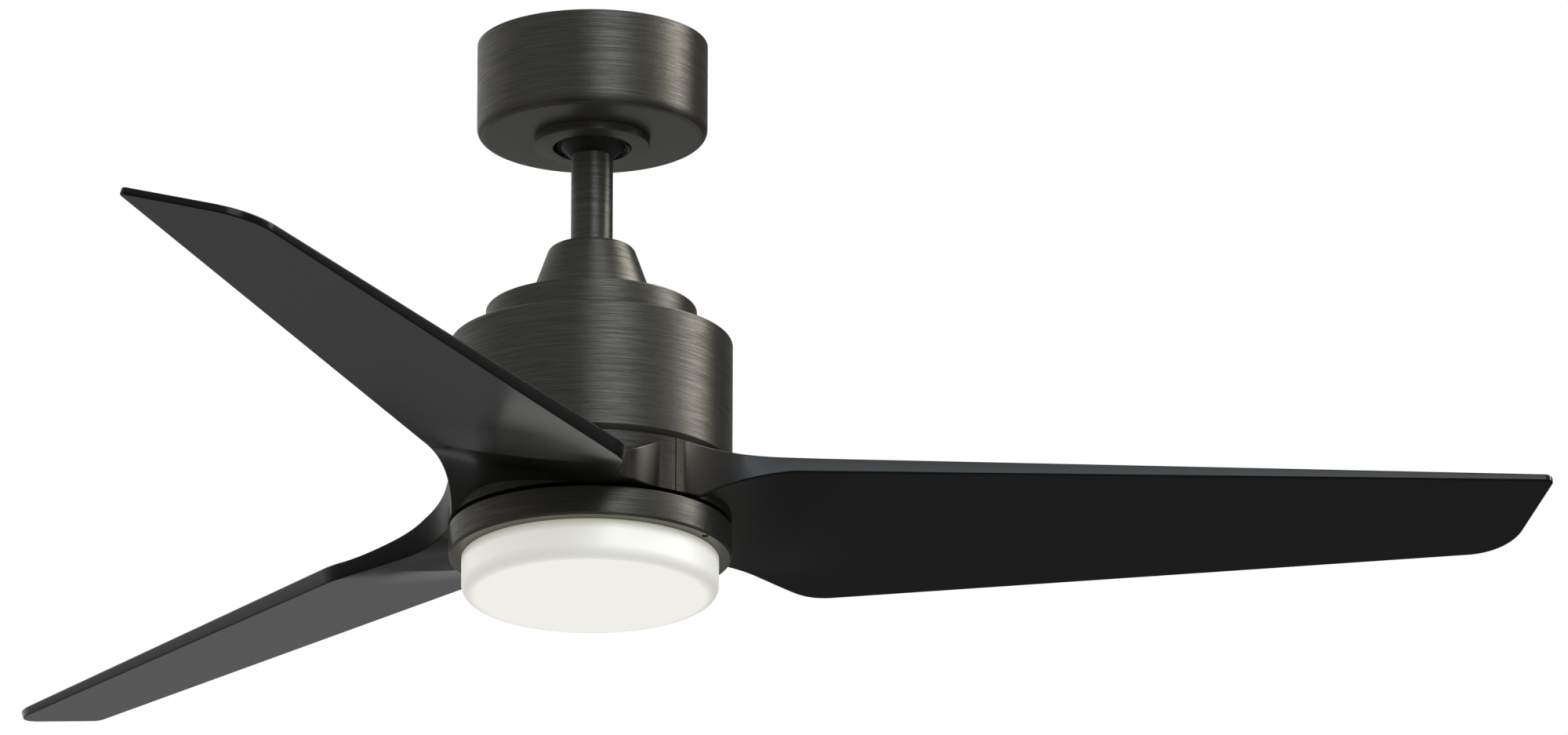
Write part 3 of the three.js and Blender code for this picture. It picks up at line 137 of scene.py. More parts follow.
def rounded(corners, steps=5):
    """Corner points (radius, height, rounding) in millimetres as a smooth line: each corner with a
    rounding becomes an arc that touches both of its sides."""
    line = []
    count = len(corners)
    for i, (r, z, size) in enumerate(corners):
        here = np.array([r, z], float)
        if size <= 0:
            line.append(here)
            continue
        before = np.array(corners[i - 1][:2], float) - here
        after = np.array(corners[(i + 1) % count][:2], float) - here
        before /= np.linalg.norm(before)
        after /= np.linalg.norm(after)
        half = math.acos(max(-1.0, min(1.0, float(before @ after)))) / 2
        reach = size / math.tan(half)
        middle = before + after
        centre = here + middle / np.linalg.norm(middle) * size / math.sin(half)
        start = here + before * reach - centre
        end = here + after * reach - centre
        first = math.atan2(start[1], start[0])
        turn = (math.atan2(end[1], end[0]) - first + math.pi) % (2 * math.pi) - math.pi
        for k in range(steps + 1):
            a = first + turn * k / steps
            line.append(centre + size * np.array([math.cos(a), math.sin(a)]))
    return np.array(line)


def smooth(mesh):
    """Shades a mesh smooth, except where its faces meet at a sharp angle."""
    mesh.polygons.foreach_set("use_smooth", np.ones(len(mesh.polygons), bool))
    mesh.set_sharp_from_angle(angle=math.radians(32))


def add_object(name, held):
    """An object in the scene that holds a mesh, a lamp or a camera."""
    made = bpy.data.objects.new(name, held)
    bpy.context.scene.collection.objects.link(made)
    return made


def finish_mesh(name, points, faces):
    """A smooth mesh object from points in metres."""
    mesh = bpy.data.meshes.new(name)
    mesh.from_pydata(points.tolist(), [], faces)
    mesh.validate()
    smooth(mesh)
    return add_object(name, mesh)


def turned(name, line, around=192):
    """A surface of revolution about +Z. Point (i, j) is at the angle i of an even round and at the
    profile's radius and height j, in millimetres. A profile that leaves the axis and comes back
    to it is closed by two fans, and any other closes on itself."""
    closed = line[0][0] > 1e-9 or line[-1][0] > 1e-9
    ring = line if closed else line[1:-1]
    angle = np.arange(around) * 2 * math.pi / around
    x = np.outer(np.cos(angle), ring[:, 0])
    y = np.outer(np.sin(angle), ring[:, 0])
    z = np.outer(np.ones(around), ring[:, 1])
    points = np.stack([x, y, z], -1).reshape(-1, 3)
    count = len(ring)
    spans = count if closed else count - 1
    i, j = np.meshgrid(np.arange(around), np.arange(spans), indexing="ij")
    here = (i * count + j).ravel()
    up = (i * count + (j + 1) % count).ravel()
    on = (((i + 1) % around) * count + j).ravel()
    on_up = (((i + 1) % around) * count + (j + 1) % count).ravel()
    faces = np.stack([here, on, on_up, up], -1).tolist()
    if not closed:
        first, last = len(points), len(points) + 1
        points = np.vstack([points, [[0, 0, line[0][1]], [0, 0, line[-1][1]]]])
        k = np.arange(around)
        low, high = k * count, k * count + count - 1
        low_on, high_on = np.roll(low, -1), np.roll(high, -1)
        faces += np.stack([np.full(around, first), low_on, low], -1).tolist()
        faces += np.stack([np.full(around, last), high, high_on], -1).tolist()
    r, height = line[:, 0], line[:, 1]
    area = np.dot(r, np.roll(height, -1)) - np.dot(np.roll(r, -1), height)
    if area < 0:
        faces = [face[::-1] for face in faces]
    return finish_mesh(name, points / 1000, faces)


def carve(piece, *cutters, operation="DIFFERENCE"):
    """Cuts other closed meshes out of a piece, or joins them to it, and removes them."""
    for cutter in cutters:
        change = piece.modifiers.new("shape", "BOOLEAN")
        change.object = cutter
        change.operation = operation
        change.solver = "EXACT"
        bpy.context.view_layer.update()
        evaluated = piece.evaluated_get(bpy.context.evaluated_depsgraph_get())
        mesh = bpy.data.meshes.new_from_object(evaluated)
        piece.modifiers.clear()
        piece.data = mesh
        bpy.data.objects.remove(cutter)
    smooth(piece.data)


def slab(inner, outer, low, high):
    """The profile of a plain ring or bar: two radii and two heights."""
    return np.array([(inner, low), (outer, low), (outer, high), (inner, high)], float)


def drill(radius, low, high, out, degrees, around=24):
    """A round bar along +Z between two heights, to cut a hole with. It stands this far out from
    the axis, all in millimetres, and this far round."""
    bar = turned("drill", slab(0, radius, low, high), around)
    turn = math.radians(degrees)
    x, y = out * math.cos(turn), out * math.sin(turn)
    bar.data.transform(Matrix.Translation((x / 1000, y / 1000, 0)))
    return bar


def install(piece, material, body, slot, *replaced):
    """Dresses a finished piece and sets it on its body in place of its CAD nodes."""
    piece.data.materials.clear()
    piece.data.materials.append(material)
    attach(piece, body)
    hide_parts(*replaced)


def edges(name):
    """Outer radius, lowest and highest height of a round CAD node, in millimetres."""
    low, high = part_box(name)
    return max(high.x, high.y) * 1000, low.z * 1000, high.z * 1000


def math_node(material, operation, *values):
    """What an operation gives for these values or sockets."""
    made = add_node(material, "Math", dict(enumerate(values)), operation=operation)
    return made.outputs["Value"]


def bump(material, height, strength, distance):
    """Normals that follow a height from 0 to 1, with its full rise in metres."""
    made = add_node(material, "Bump", {
        "Height": height, "Strength": strength, "Distance": distance})
    return made.outputs["Normal"]


def stretched(material, place, across, up):
    """Coordinates for lines that lie level: cells for each metre across and up the piece."""
    made = add_node(material, "Mapping", {"Vector": place, "Scale": (across, across, up)})
    return made.outputs["Vector"]


def brushed_bronze(name, first, second):
    """Steel brushed round its axis and plated dark bronze: fine scratches run round the piece, so
    highlights stretch up and down, and the scratches catch them in thin lines."""
    material, output, place = new_material(name)
    broad = noise(material, stretched(material, place, 20.0, 1400.0), 1.0, 3.0, 0.6)
    fine = noise(material, stretched(material, place, 45.0, 3000.0), 1.0, 2.0, 0.7)
    both = math_node(material, "ADD", broad, fine)
    tone = span(material, both, 0.84, 1.16, 0.0, 1.0)
    around = add_node(material, "Tangent", direction_type="RADIAL", axis="Z")
    return surfaced(material, output, {
        "Base Color": two_tone(material, tone, first, second),
        "Roughness": span(material, tone, 0.0, 1.0, 0.45, 0.31),
        "Metallic": 0.7, "Anisotropic": 0.95, "Anisotropic Rotation": 0.25,
        "Specular Tint": linear("eeeeee"), "Tangent": around.outputs["Tangent"],
        "Normal": bump(material, both, 0.25, 0.0004)})


def painted_light_satin_bronze():
    """The same plated steel where it isn't brushed: even, with a very fine grain. Its colour is
    painted lighter than the brushed bronze's, as painted light on the faces that look down.
    """
    material, output, place = new_material("painted_light_satin_bronze_plated_steel")
    cloud = noise(material, place, 700.0, 2.0)
    return surfaced(material, output, {
        # Painted light: these colours are lighter than the brushed bronze's, to brighten the faces
        # that look down.
        "Base Color": two_tone(material, cloud, "72706a", "7b7972"),
        "Roughness": span(material, cloud, 0.3, 0.7, 0.36, 0.42), "Metallic": 0.7})


def face_values(piece, what):
    """The centre or the normal of each face, as rows of three."""
    values = np.empty(len(piece.data.polygons) * 3)
    piece.data.polygons.foreach_get(what, values)
    return values.reshape(-1, 3)


def dress_part(piece, material, chosen):
    """Gives a second material to the chosen faces of a piece."""
    piece.data.materials.append(material)
    piece.data.polygons.foreach_set("material_index", chosen.astype(np.int32))


def satin_with_painted_light_below(piece):
    """Leaves the faces that look straight down unbrushed, in the satin copy whose lighter colour is
    painted light.
    """
    dress_part(piece, PAINTED_LIGHT_SATIN, face_values(piece, "normal")[:, 2] < -0.85)


BRONZE = brushed_bronze("brushed_bronze_plated_steel", "4c4b46", "5a5852")
PAINTED_LIGHT_SATIN = painted_light_satin_bronze()
SCREW_HOLE_R = 2.3
CANOPY_WALL = 1.2
CANOPY_HOLE = 31.5
CANOPY_ROUND = 6.5
CANOPY_SCREW_AT = 35
canopy_out, canopy_low, canopy_top = edges("canopy")
canopy = turned("canopy_cup", rounded([
    (CANOPY_HOLE, canopy_low, 0.3), (canopy_out, canopy_low, CANOPY_ROUND),
    (canopy_out, canopy_top, 0.3), (canopy_out - CANOPY_WALL, canopy_top, 0.3),
    (canopy_out - CANOPY_WALL, canopy_low + CANOPY_WALL, CANOPY_ROUND - CANOPY_WALL),
    (CANOPY_HOLE, canopy_low + CANOPY_WALL, 0.3)], 8))
carve(canopy, *[drill(SCREW_HOLE_R, canopy_low - 1, canopy_low + 2.5, CANOPY_SCREW_AT, t)
                for t in (-90, 90)])
install(canopy, BRONZE, "ceiling_mount", "brushed_bronze", "canopy")
# The canopy's underside gets the satin copy, painted lighter as painted light.
satin_with_painted_light_below(canopy)


# ---- Canopy trim ring ----
# A small pressed ring in the same bronze. It hides the canopy's screws, and its shallow dish
# leaves the rod room to swing.

TRIM_OPENING = 27.0
TRIM_RISE = 2.4
TRIM_DISH = 1.2
TRIM_WALL = 1.2
trim_out, trim_low, trim_top = edges("canopy_trim_ring")
trim_lip = trim_low + TRIM_RISE
trim_flat = trim_lip + TRIM_DISH
trim = turned("canopy_trim", rounded([
    (trim_out - TRIM_WALL, trim_top, 0), (trim_out - TRIM_WALL, trim_flat + TRIM_WALL, 0.3),
    (TRIM_OPENING, trim_lip + TRIM_WALL, 0.5), (TRIM_OPENING, trim_lip, 0.5),
    (trim_out, trim_flat, 0.9), (trim_out, trim_top, 0)], 6), 144)
install(trim, BRONZE, "ceiling_mount", "brushed_bronze", "canopy_trim_ring")
# The trim ring's underside gets the satin copy, painted lighter as painted light.
satin_with_painted_light_below(trim)


# ---- Canopy screws ----
# Pan-head machine screws, zinc plated, up through the canopy into the bracket's flange.

dress(ZINC, "canopy_screw_1", "canopy_screw_2")


# ---- Receiver ----
# The remote control's receiver: a closed case of white moulded plastic that is slid into the
# bracket above the ball.

def moulded_plastic(name, first, second, roughness, grain, depth):
    """Moulded plastic: an even colour with a slow drift, and a fine eroded grain of a given width
    in metres that takes the shine off."""
    material, output, place = new_material(name)
    drift = span(material, noise(material, place, 9.0, 3.0), 0.3, 0.7, 0.0, 1.0)
    return surfaced(material, output, {
        "Base Color": two_tone(material, drift, first, second),
        "Roughness": roughness, "IOR": 1.53, "Specular IOR Level": 0.23,
        "Normal": bump(material, noise(material, place, 1 / grain, 2.0), 0.3, depth)})


WHITE_PLASTIC = moulded_plastic("white_moulded_abs", "e3e3df", "e9e9e5", 0.45, 0.0012, 0.0002)
dress(WHITE_PLASTIC, "receiver_box")


# ---- Ball liner ----
# A cup of dark moulded nylon between the steel seat and the ball. It lets the ball turn
# quietly, and has a hole for the bracket's peg.

NYLON = moulded_plastic("moulded_nylon", "20201e", "272725", 0.5, 0.0012, 0.0002)
dress(NYLON, "ball_liner")


# ---- Hanger ball ----
# A die-cast ball that carries the rod on a cross pin. It is painted black, and its low side
# shows in the trim ring's opening.

def cast_metal(name, first, second, roughness, metallic):
    """Die-cast metal as it leaves the die: slightly pebbled skin with uneven shine."""
    material, output, place = new_material(name)
    skin = noise(material, place, 420.0, 4.0)
    patches = span(material, noise(material, place, 45.0, 2.0), 0.3, 0.7, 0.0, 1.0)
    return surfaced(material, output, {
        "Base Color": two_tone(material, patches, first, second),
        "Roughness": span(material, skin, 0.3, 0.7, roughness - 0.06, roughness + 0.06),
        "Metallic": metallic, "Normal": bump(material, skin, 0.35, 0.0004)})


CAST = cast_metal("painted_zinc_casting", "0e0e0d", "131312", 0.5, 0.0)
BALL_R = 26.5
BALL_BORE = 14.7
BALL_CROWN = 22.0  # from its centre to its flat top
ball_top = edges("hanger_ball")[2]
ball_centre = ball_top - BALL_CROWN
ball_way = np.linspace(math.asin(BALL_BORE / BALL_R) - math.pi / 2,
                       math.asin(BALL_CROWN / BALL_R), 60)
ball_line = np.stack([BALL_R * np.cos(ball_way), ball_centre + BALL_R * np.sin(ball_way)], -1)
ball = turned("hanging_ball", np.vstack([ball_line, [[BALL_BORE, ball_top]]]), 128)
install(ball, CAST, "hanging", "cast_metal", "hanger_ball")


# ---- Pins, set screws and hairpin ----
# Bright drawn steel: the cross pin in the ball, the clevis pin and its hairpin below, and
# hexagon socket set screws that stop the joints from rattling.

def drawn_steel():
    """Bright drawn steel: pale grey, with an uneven shine and small patches of dull oxide."""
    material, output, place = new_material("bright_drawn_steel")
    lines = noise(material, place, 900.0, 2.0)
    return surfaced(material, output, {
        "Base Color": two_tone(material, noise(material, place, 160.0, 3.0), "75787c", "8f9296"),
        "Roughness": span(material, lines, 0.3, 0.7, 0.22, 0.36), "Metallic": 1.0})


STEEL = drawn_steel()
dress(STEEL, "ball_cross_pin", "ball_set_screw", "clevis_pin", "hairpin_clip",
      "coupling_set_screw_1", "coupling_set_screw_2")


# ---- Downrod ----
# Welded steel tube, brushed round and plated like the canopy. The leads run inside it, and a
# pin crosses each end.

def cross_drill(radius, reach, height, along_x):
    """A round bar through the axis along +X or +Y, in millimetres, to cut a hole with."""
    bar = turned("cross_drill", slab(0, radius, -reach, reach), 24)
    turn = Matrix.Rotation(math.pi / 2, 4, "Y" if along_x else "X")
    bar.data.transform(Matrix.Translation((0, 0, height / 1000)) @ turn)
    return bar


ROD_R = 14.4
ROD_WALL = 2.2
PIN_HOLE_R = 3.3
BALL_PIN_RISE = 8  # above the ball's centre
CLEVIS_PIN_RISE = 17  # above the coupling's foot
rod_low, rod_top = edges("downrod")[1:]
rod = turned("rod", rounded([
    (ROD_R - ROD_WALL, rod_low, 0.4), (ROD_R, rod_low, 0.6), (ROD_R, rod_top, 0.6),
    (ROD_R - ROD_WALL, rod_top, 0.4)], 4), 96)
carve(rod, cross_drill(PIN_HOLE_R, ROD_R + 2, ball_centre + BALL_PIN_RISE, False),
      cross_drill(PIN_HOLE_R, ROD_R + 2, edges("motor_coupling")[1] + CLEVIS_PIN_RISE, True))
install(rod, BRONZE, "hanging", "brushed_bronze", "downrod")


# ---- Motor coupling and its screws ----
# A cast iron socket for the rod, with a flange that three screws hold to the motor's frame.

IRON = cast_metal("cast_iron", "333436", "3e3f41", 0.5, 0.7)
dress(IRON, "motor_coupling")
dress(ZINC, "coupling_screw_1", "coupling_screw_2", "coupling_screw_3")


# ---- Coupling cover ----
# A spun steel cone in bronze that slides on the rod and rests on the motor's upper cover. It
# is pushed up to reach the pins.

COVER_WALL = 1.2
COVER_H = 45.0
COVER_GAP = 0.7  # round the rod
COVER_SHOULDER_R = 30.5
COVER_SHOULDER_DROP = 4.5
COVER_EDGE = 6.5
cover_out, cover_low, cover_top = edges("coupling_cover")
slope = (cover_out - COVER_SHOULDER_R) / (COVER_H - COVER_SHOULDER_DROP)
bore = ROD_R + COVER_GAP
inner = cover_out - COVER_WALL * math.hypot(1, slope)
cover_under = cover_top - COVER_WALL
cover = turned("rod_cover", rounded([
    (cover_out, cover_low, 0.2),
    (cover_out - slope * (cover_top - cover_low), cover_top, COVER_EDGE),
    (bore, cover_top, 0.4), (bore, cover_under, 0.3),
    (inner - slope * (cover_under - cover_low), cover_under, COVER_EDGE - COVER_WALL),
    (inner, cover_low, 0.2)], 12), 144)
install(cover, BRONZE, "rod_cover", "brushed_bronze", "coupling_cover")


# ---- Upper cover of the motor ----
# A shallow spun cup in bronze, clamped between the coupling's flange and the cast frame.

TOP_COVER_WALL = 1.2
TOP_COVER_BORE = 13.0
TOP_COVER_SCREW_AT = 27
top_out, top_low, top_top = edges("top_cover")
top_inner, top_under = top_out - TOP_COVER_WALL, top_top - TOP_COVER_WALL
top_cover = turned("upper_cover", rounded([
    (top_out, top_low, 0.2), (top_out, top_top, 1.5), (TOP_COVER_BORE, top_top, 0.3),
    (TOP_COVER_BORE, top_under, 0.3), (top_inner, top_under, 0.6), (top_inner, top_low, 0.2)], 6))
carve(top_cover, *[drill(SCREW_HOLE_R, top_top - 3, top_top + 1, TOP_COVER_SCREW_AT, t)
                   for t in (30, 150, 270)])
install(top_cover, BRONZE, "hanging", "brushed_bronze", "top_cover")


# ---- Motor housing ----
# A deep drawn steel drum in bronze, brushed round, with a small chamfer round its lower edge.

HOUSING_WALL = 1.5
HOUSING_CHAMFER = 3.4
HOUSING_HOLE = 62.0
HOUSING_TURN_IN = 0.75  # how much higher the chamfer's inner side starts
housing_out, housing_low, housing_top = edges("motor_housing")
lip = housing_out - HOUSING_CHAMFER
housing = turned("motor_drum", rounded([
    (HOUSING_HOLE, housing_top, 0.4), (housing_out, housing_top, 2.5),
    (housing_out, housing_low + HOUSING_CHAMFER, 0.9), (lip, housing_low, 0.5),
    (lip - HOUSING_WALL, housing_low, 0.3),
    (lip - HOUSING_WALL, housing_low + HOUSING_TURN_IN, 0.3),
    (housing_out - HOUSING_WALL, housing_low + HOUSING_CHAMFER + HOUSING_TURN_IN, 0.3),
    (housing_out - HOUSING_WALL, housing_top - HOUSING_WALL, 1.0),
    (HOUSING_HOLE, housing_top - HOUSING_WALL, 0.4)], 6), 256)
install(housing, BRONZE, "hanging", "brushed_bronze", "motor_housing")


# ---- Motor ----
# An outer rotor motor: laminated stator and coils fixed on a hollow shaft, and two cast bells
# with a magnet ring that turn round them on ball bearings.

def laminated_steel():
    """Stacked half-millimetre sheets of silicon steel: thin dark lines between them."""
    material, output, place = new_material("laminated_silicon_steel")
    height = add_node(material, "SeparateXYZ", {"Vector": place}).outputs["Z"]
    sheet = math_node(material, "FRACT", math_node(material, "MULTIPLY", height, 2000.0))
    line = span(material, sheet, 0.0, 0.2, 0.0, 1.0)
    return surfaced(material, output, {
        "Base Color": two_tone(material, line, "2f3134", "66696d"),
        "Roughness": 0.42, "Metallic": 0.9})


def enamelled_copper():
    """Enamelled copper wire, about a millimetre thick, wound round in even turns."""
    material, output, place = new_material("enamelled_copper_wire")
    wires = noise(material, stretched(material, place, 60.0, 900.0), 1.0, 2.0)
    return surfaced(material, output, {
        "Base Color": two_tone(material, wires, "7a3f1c", "b3713d"),
        "Roughness": 0.35, "Metallic": 0.85, "Normal": bump(material, wires, 0.5, 0.0005)})


ALUMINIUM = cast_metal("die_cast_aluminium", "8e9092", "a0a2a4", 0.48, 1.0)
FERRITE = cast_metal("sintered_ferrite", "2a2b2d", "343538", 0.6, 0.0)
dress(ALUMINIUM, "motor_frame", "rotor_upper", "rotor_lower")
dress(STEEL, "motor_shaft", "bearing_upper", "bearing_lower")
dress(laminated_steel(), "stator_core")
dress(enamelled_copper(), "winding_upper", "winding_lower")
dress(FERRITE, "magnet_ring")


# ---- Blade hub and screws ----
# A turned aluminium casting under the rotor. Three screws hold it to the rotor, and two more
# come up through each blade's root.

dress(ALUMINIUM, "blade_hub")
dress(ZINC, *[f"rotor_screw_{i}" for i in (1, 2, 3)], *[f"blade_screw_{i}" for i in range(1, 7)])


# ---- Blades ----
# Each is one moulding in black ABS: a third of the hub's drum, lacquered in bronze, and a broad
# pitched plate that swells out of it. Two screws through its root's web hold it up to the hub.

REST_TURN = 6.5
DRUM_R = 97.4
DRUM_IN_R = 44.0
DRUM_WALL = 6.4
DRUM_WEB = 6
POCKET_IN_R = 52.0
POCKET_HALF = 54  # degrees
BLADE_SCREW_AT = 56
ROOT_H = 37.7
HUB_GAP = 0.3
SEAM = 0.9
BLADE_R = 658.0
LEAD_OFFSET = 63.3
LEAD_FILLET_R = 150.0
LEAD_CORNER_R = 6.0
TRAIL_OFFSET = 120.0
TRAIL_TAPER = 0.145
WAIST_OFFSET = 66.0
WAIST_FILLET_R = 60.0
FLARE_SLOPE = 0.555
FLARE_CORNER_R = 45.0
TIP_SLANT = 0.185
TIP_CORNER_R = 40.0
PLATE_DROP = 33.9  # from the drum's top to the underside's plane at the axis
PITCH = 0.253
PLATE_RISE = 0.032
PLATE_T = 12.65
PLATE_THINNING = 0.0111
UNDER_START, UNDER_LENGTH, UNDER_LAG = 67, 70, 15
OVER_START, OVER_LENGTH = 53, 105
CREASE_R = 145
CREASE_FADE = 55
CREASE_DEPTH = 2.5
WALL_LEAN = 0.2
EDGE_R = 1.2
DRUM_LOW = edges("blade_hub")[1] - HUB_GAP - ROOT_H
DRUM_TOP = DRUM_LOW + ROOT_H


def root_edge(r, offset, fillet):
    """Distance from the blade's centre line to an edge near the root: inside the drum's circle,
    then on a concave fillet tangent to it. Also where the fillet starts and ends."""
    end = math.sqrt((DRUM_R + fillet) ** 2 - (offset + fillet) ** 2)
    start = end * DRUM_R / (DRUM_R + fillet)
    inside = np.sqrt(np.clip((DRUM_R - 1) ** 2 - r ** 2, 0, None))
    hollow = offset + fillet - np.sqrt(np.clip(fillet ** 2 - (r - end) ** 2, 0, None))
    return np.where(r < start, inside, hollow), start, end


def lead_edge(r):
    """Distance of the leading edge from the centre line: the root's fillet, then straight."""
    root_line, _, straight = root_edge(r, LEAD_OFFSET, LEAD_FILLET_R)
    return np.where(r < straight, root_line, LEAD_OFFSET)


def trail_edge(r):
    """The same for the trailing edge: the root's fillet is its waist, and a straight flare, a
    rounded corner and a line that tapers to the tip follow."""
    root_line, _, waist = root_edge(r, WAIST_OFFSET, WAIST_FILLET_R)
    flare = math.atan(FLARE_SLOPE)
    taper = math.atan(TRAIL_TAPER)
    flare_r = waist + WAIST_FILLET_R * math.sin(flare)
    flare_c = WAIST_OFFSET + WAIST_FILLET_R - WAIST_FILLET_R * math.cos(flare)
    corner = (TRAIL_OFFSET - flare_c + FLARE_SLOPE * flare_r) / (FLARE_SLOPE + TRAIL_TAPER)
    reach = FLARE_CORNER_R * math.tan((flare + taper) / 2)
    start = corner - reach * math.cos(flare)
    end = corner + reach * math.cos(taper)
    line = flare_c + FLARE_SLOPE * (r - flare_r)
    turn_r = start + FLARE_CORNER_R * math.sin(flare)
    turn_c = flare_c + FLARE_SLOPE * (start - flare_r) - FLARE_CORNER_R * math.cos(flare)
    turn = turn_c + np.sqrt(np.clip(FLARE_CORNER_R ** 2 - (r - turn_r) ** 2, 0, None))
    return np.select([r < flare_r, r < start, r < end], [root_line, line, turn],
                     TRAIL_OFFSET - TRAIL_TAPER * r)


def plate_under(r, c):
    """Height of the pitched plate's underside: a plane that falls across the blade and rises
    a little along it."""
    return DRUM_TOP - PLATE_DROP - PITCH * c + PLATE_RISE * r


def under(r, c):
    """The drum's flat underside swells into the plate's, sooner at the leading edge. Where the
    swell ends there is a shallow crease, which fades out to both edges."""
    across = np.clip((c + LEAD_OFFSET) / (2 * LEAD_OFFSET), 0, 1)
    late = UNDER_LAG * across
    swell = 1 - (1 - np.clip((r - UNDER_START - late) / (UNDER_LENGTH + late), 0, 1)) ** 1.8
    inside = np.clip((r - DRUM_R) / (CREASE_R - DRUM_R), 0, 1) ** 2
    outside = np.clip(1 - (r - CREASE_R) / CREASE_FADE, 0, 1) ** 2
    crease = CREASE_DEPTH * np.minimum(inside, outside) * np.sin(np.pi * across)
    flat = DRUM_LOW - 0.02
    return flat + swell * (plate_under(r, c) - flat) - crease


def over(r, c):
    """The drum's flat top falls to the plate's top, and the plate thins towards its tip."""
    swell = 1 - (1 - np.clip((r - OVER_START) / OVER_LENGTH, 0, 1)) ** 1.6
    flat = DRUM_TOP - 0.2
    return flat + swell * (plate_under(r, c) + PLATE_T - PLATE_THINNING * r - flat)


def blade_outline():
    """Stations from the drum's circle to the tip, each as its leading and its trailing end, with
    one just past each point where a fillet starts. At the tip the ends march round a large
    trailing corner, while the leading end goes on straight and rounds its small corner last."""
    slant = math.atan(TIP_SLANT)
    taper = math.atan(TRAIL_TAPER)
    tip_c = ((TRAIL_OFFSET - TRAIL_TAPER * (BLADE_R - TIP_SLANT * LEAD_OFFSET))
             / (1 - TRAIL_TAPER * TIP_SLANT))
    tip_r = BLADE_R - TIP_SLANT * (tip_c + LEAD_OFFSET)
    turn = math.pi / 2 - slant - taper
    reach = TIP_CORNER_R * math.tan(turn / 2)
    start_r = tip_r - reach * math.cos(taper)
    start_c = tip_c + reach * math.sin(taper)
    first, waist = (root_edge(0.0, offset, fillet)[1] + 0.001 for offset, fillet in (
        (LEAD_OFFSET, LEAD_FILLET_R), (WAIST_OFFSET, WAIST_FILLET_R)))
    r = np.sort(np.hstack([np.linspace(first, 200, 61), np.linspace(207, start_r, 40), waist]))
    lead = np.stack([r, -lead_edge(r)], -1)
    trail = np.stack([r, trail_edge(r)], -1)
    steps = np.arange(1, 37) / 36
    a = math.pi / 2 - taper - turn * steps
    round_trail = np.stack([
        start_r - TIP_CORNER_R * math.sin(taper) + TIP_CORNER_R * np.cos(a),
        start_c - TIP_CORNER_R * math.cos(taper) + TIP_CORNER_R * np.sin(a)], -1)
    straight_share = 0.6
    lead_turn = math.pi / 2 - slant
    lead_r = BLADE_R - LEAD_CORNER_R * math.tan(lead_turn / 2)
    b = lead_turn * np.clip((steps - straight_share) / (1 - straight_share), 0, 1)
    along = start_r + (lead_r - start_r) * np.clip(steps / straight_share, 0, 1)
    round_lead = np.stack([along + LEAD_CORNER_R * np.sin(b),
                           -LEAD_OFFSET + LEAD_CORNER_R * (1 - np.cos(b))], -1)
    return np.vstack([lead, round_lead]), np.vstack([trail, round_trail])


def outline_distance(points, lead, trail):
    """Distance in plan from each point to the plate's outline."""
    line = np.vstack([lead, trail[::-1]])
    first, step = line[:-1], np.diff(line, axis=0)
    flat = points.reshape(-1, 2)
    t = np.einsum("ijk,jk->ij", flat[:, None] - first, step)
    t /= np.maximum((step ** 2).sum(1), 1e-12)
    nearest = first + np.clip(t, 0, 1)[..., None] * step
    return np.linalg.norm(flat[:, None] - nearest, axis=-1).min(1).reshape(points.shape[:-1])


def blade_plate():
    """The pitched plate. Point (i, j) is j of the way from station i's leading end to its trailing
    end, once at the upper height and once at the lower, both drawn in by an arc near the edge.
    The upper side leans towards the trailing edge, as walls square to the plate do."""
    lead, trail = blade_outline()
    margin = 6.0
    near = np.array([0, 0.04, 0.15, 0.34, 0.6, 0.9, EDGE_R, 2.4, margin])
    chord = np.linalg.norm(trail - lead, axis=1)[:, None]
    middle = np.linspace(0, 1, 26)[1:-1] * (chord - 2 * margin) / chord + margin / chord
    t = np.hstack([near / chord, middle, 1 - near[::-1] / chord])
    plan = lead[:, None] + (trail - lead)[:, None] * t[..., None]
    r, c = plan[..., 0], plan[..., 1]
    inset = np.clip(EDGE_R - outline_distance(plan, lead, trail), 0, EDGE_R)
    clear = np.clip((np.hypot(r, c) - DRUM_R) / 3, 0, 1)
    drop = (EDGE_R - np.sqrt(EDGE_R ** 2 - inset ** 2)) * clear
    low, high = under(r, c), over(r, c)
    lean = WALL_LEAN * np.clip((r - 57) / 40, 0, 1) * (high - low)
    upper = np.stack([r, c + lean, high - drop], -1)
    lower = np.stack([r, c, low + drop], -1)
    rows, columns = r.shape
    i, j = np.meshgrid(np.arange(rows - 1), np.arange(columns - 1), indexing="ij")
    k = (i * columns + j).ravel()
    half = rows * columns
    faces = np.stack([k, k + columns, k + columns + 1, k + 1], -1)
    under_faces = half + faces[:, ::-1]
    s = np.arange(rows - 1) * columns
    e = s + columns - 1
    lead_wall = np.stack([s, half + s, half + s + columns, s + columns], -1)
    trail_wall = np.stack([e, e + columns, half + e + columns, half + e], -1)
    q = np.arange(columns - 1)
    w = (rows - 1) * columns + q
    root_wall = np.stack([q, q + 1, half + q + 1, half + q], -1)
    tip_wall = np.stack([w, half + w, half + w + 1, w + 1], -1)
    faces = np.vstack([faces, under_faces, lead_wall, trail_wall, root_wall, tip_wall]).tolist()
    points = np.vstack([upper.reshape(-1, 3), lower.reshape(-1, 3)]) / 1000
    return finish_mesh("blade_plate", points, faces)


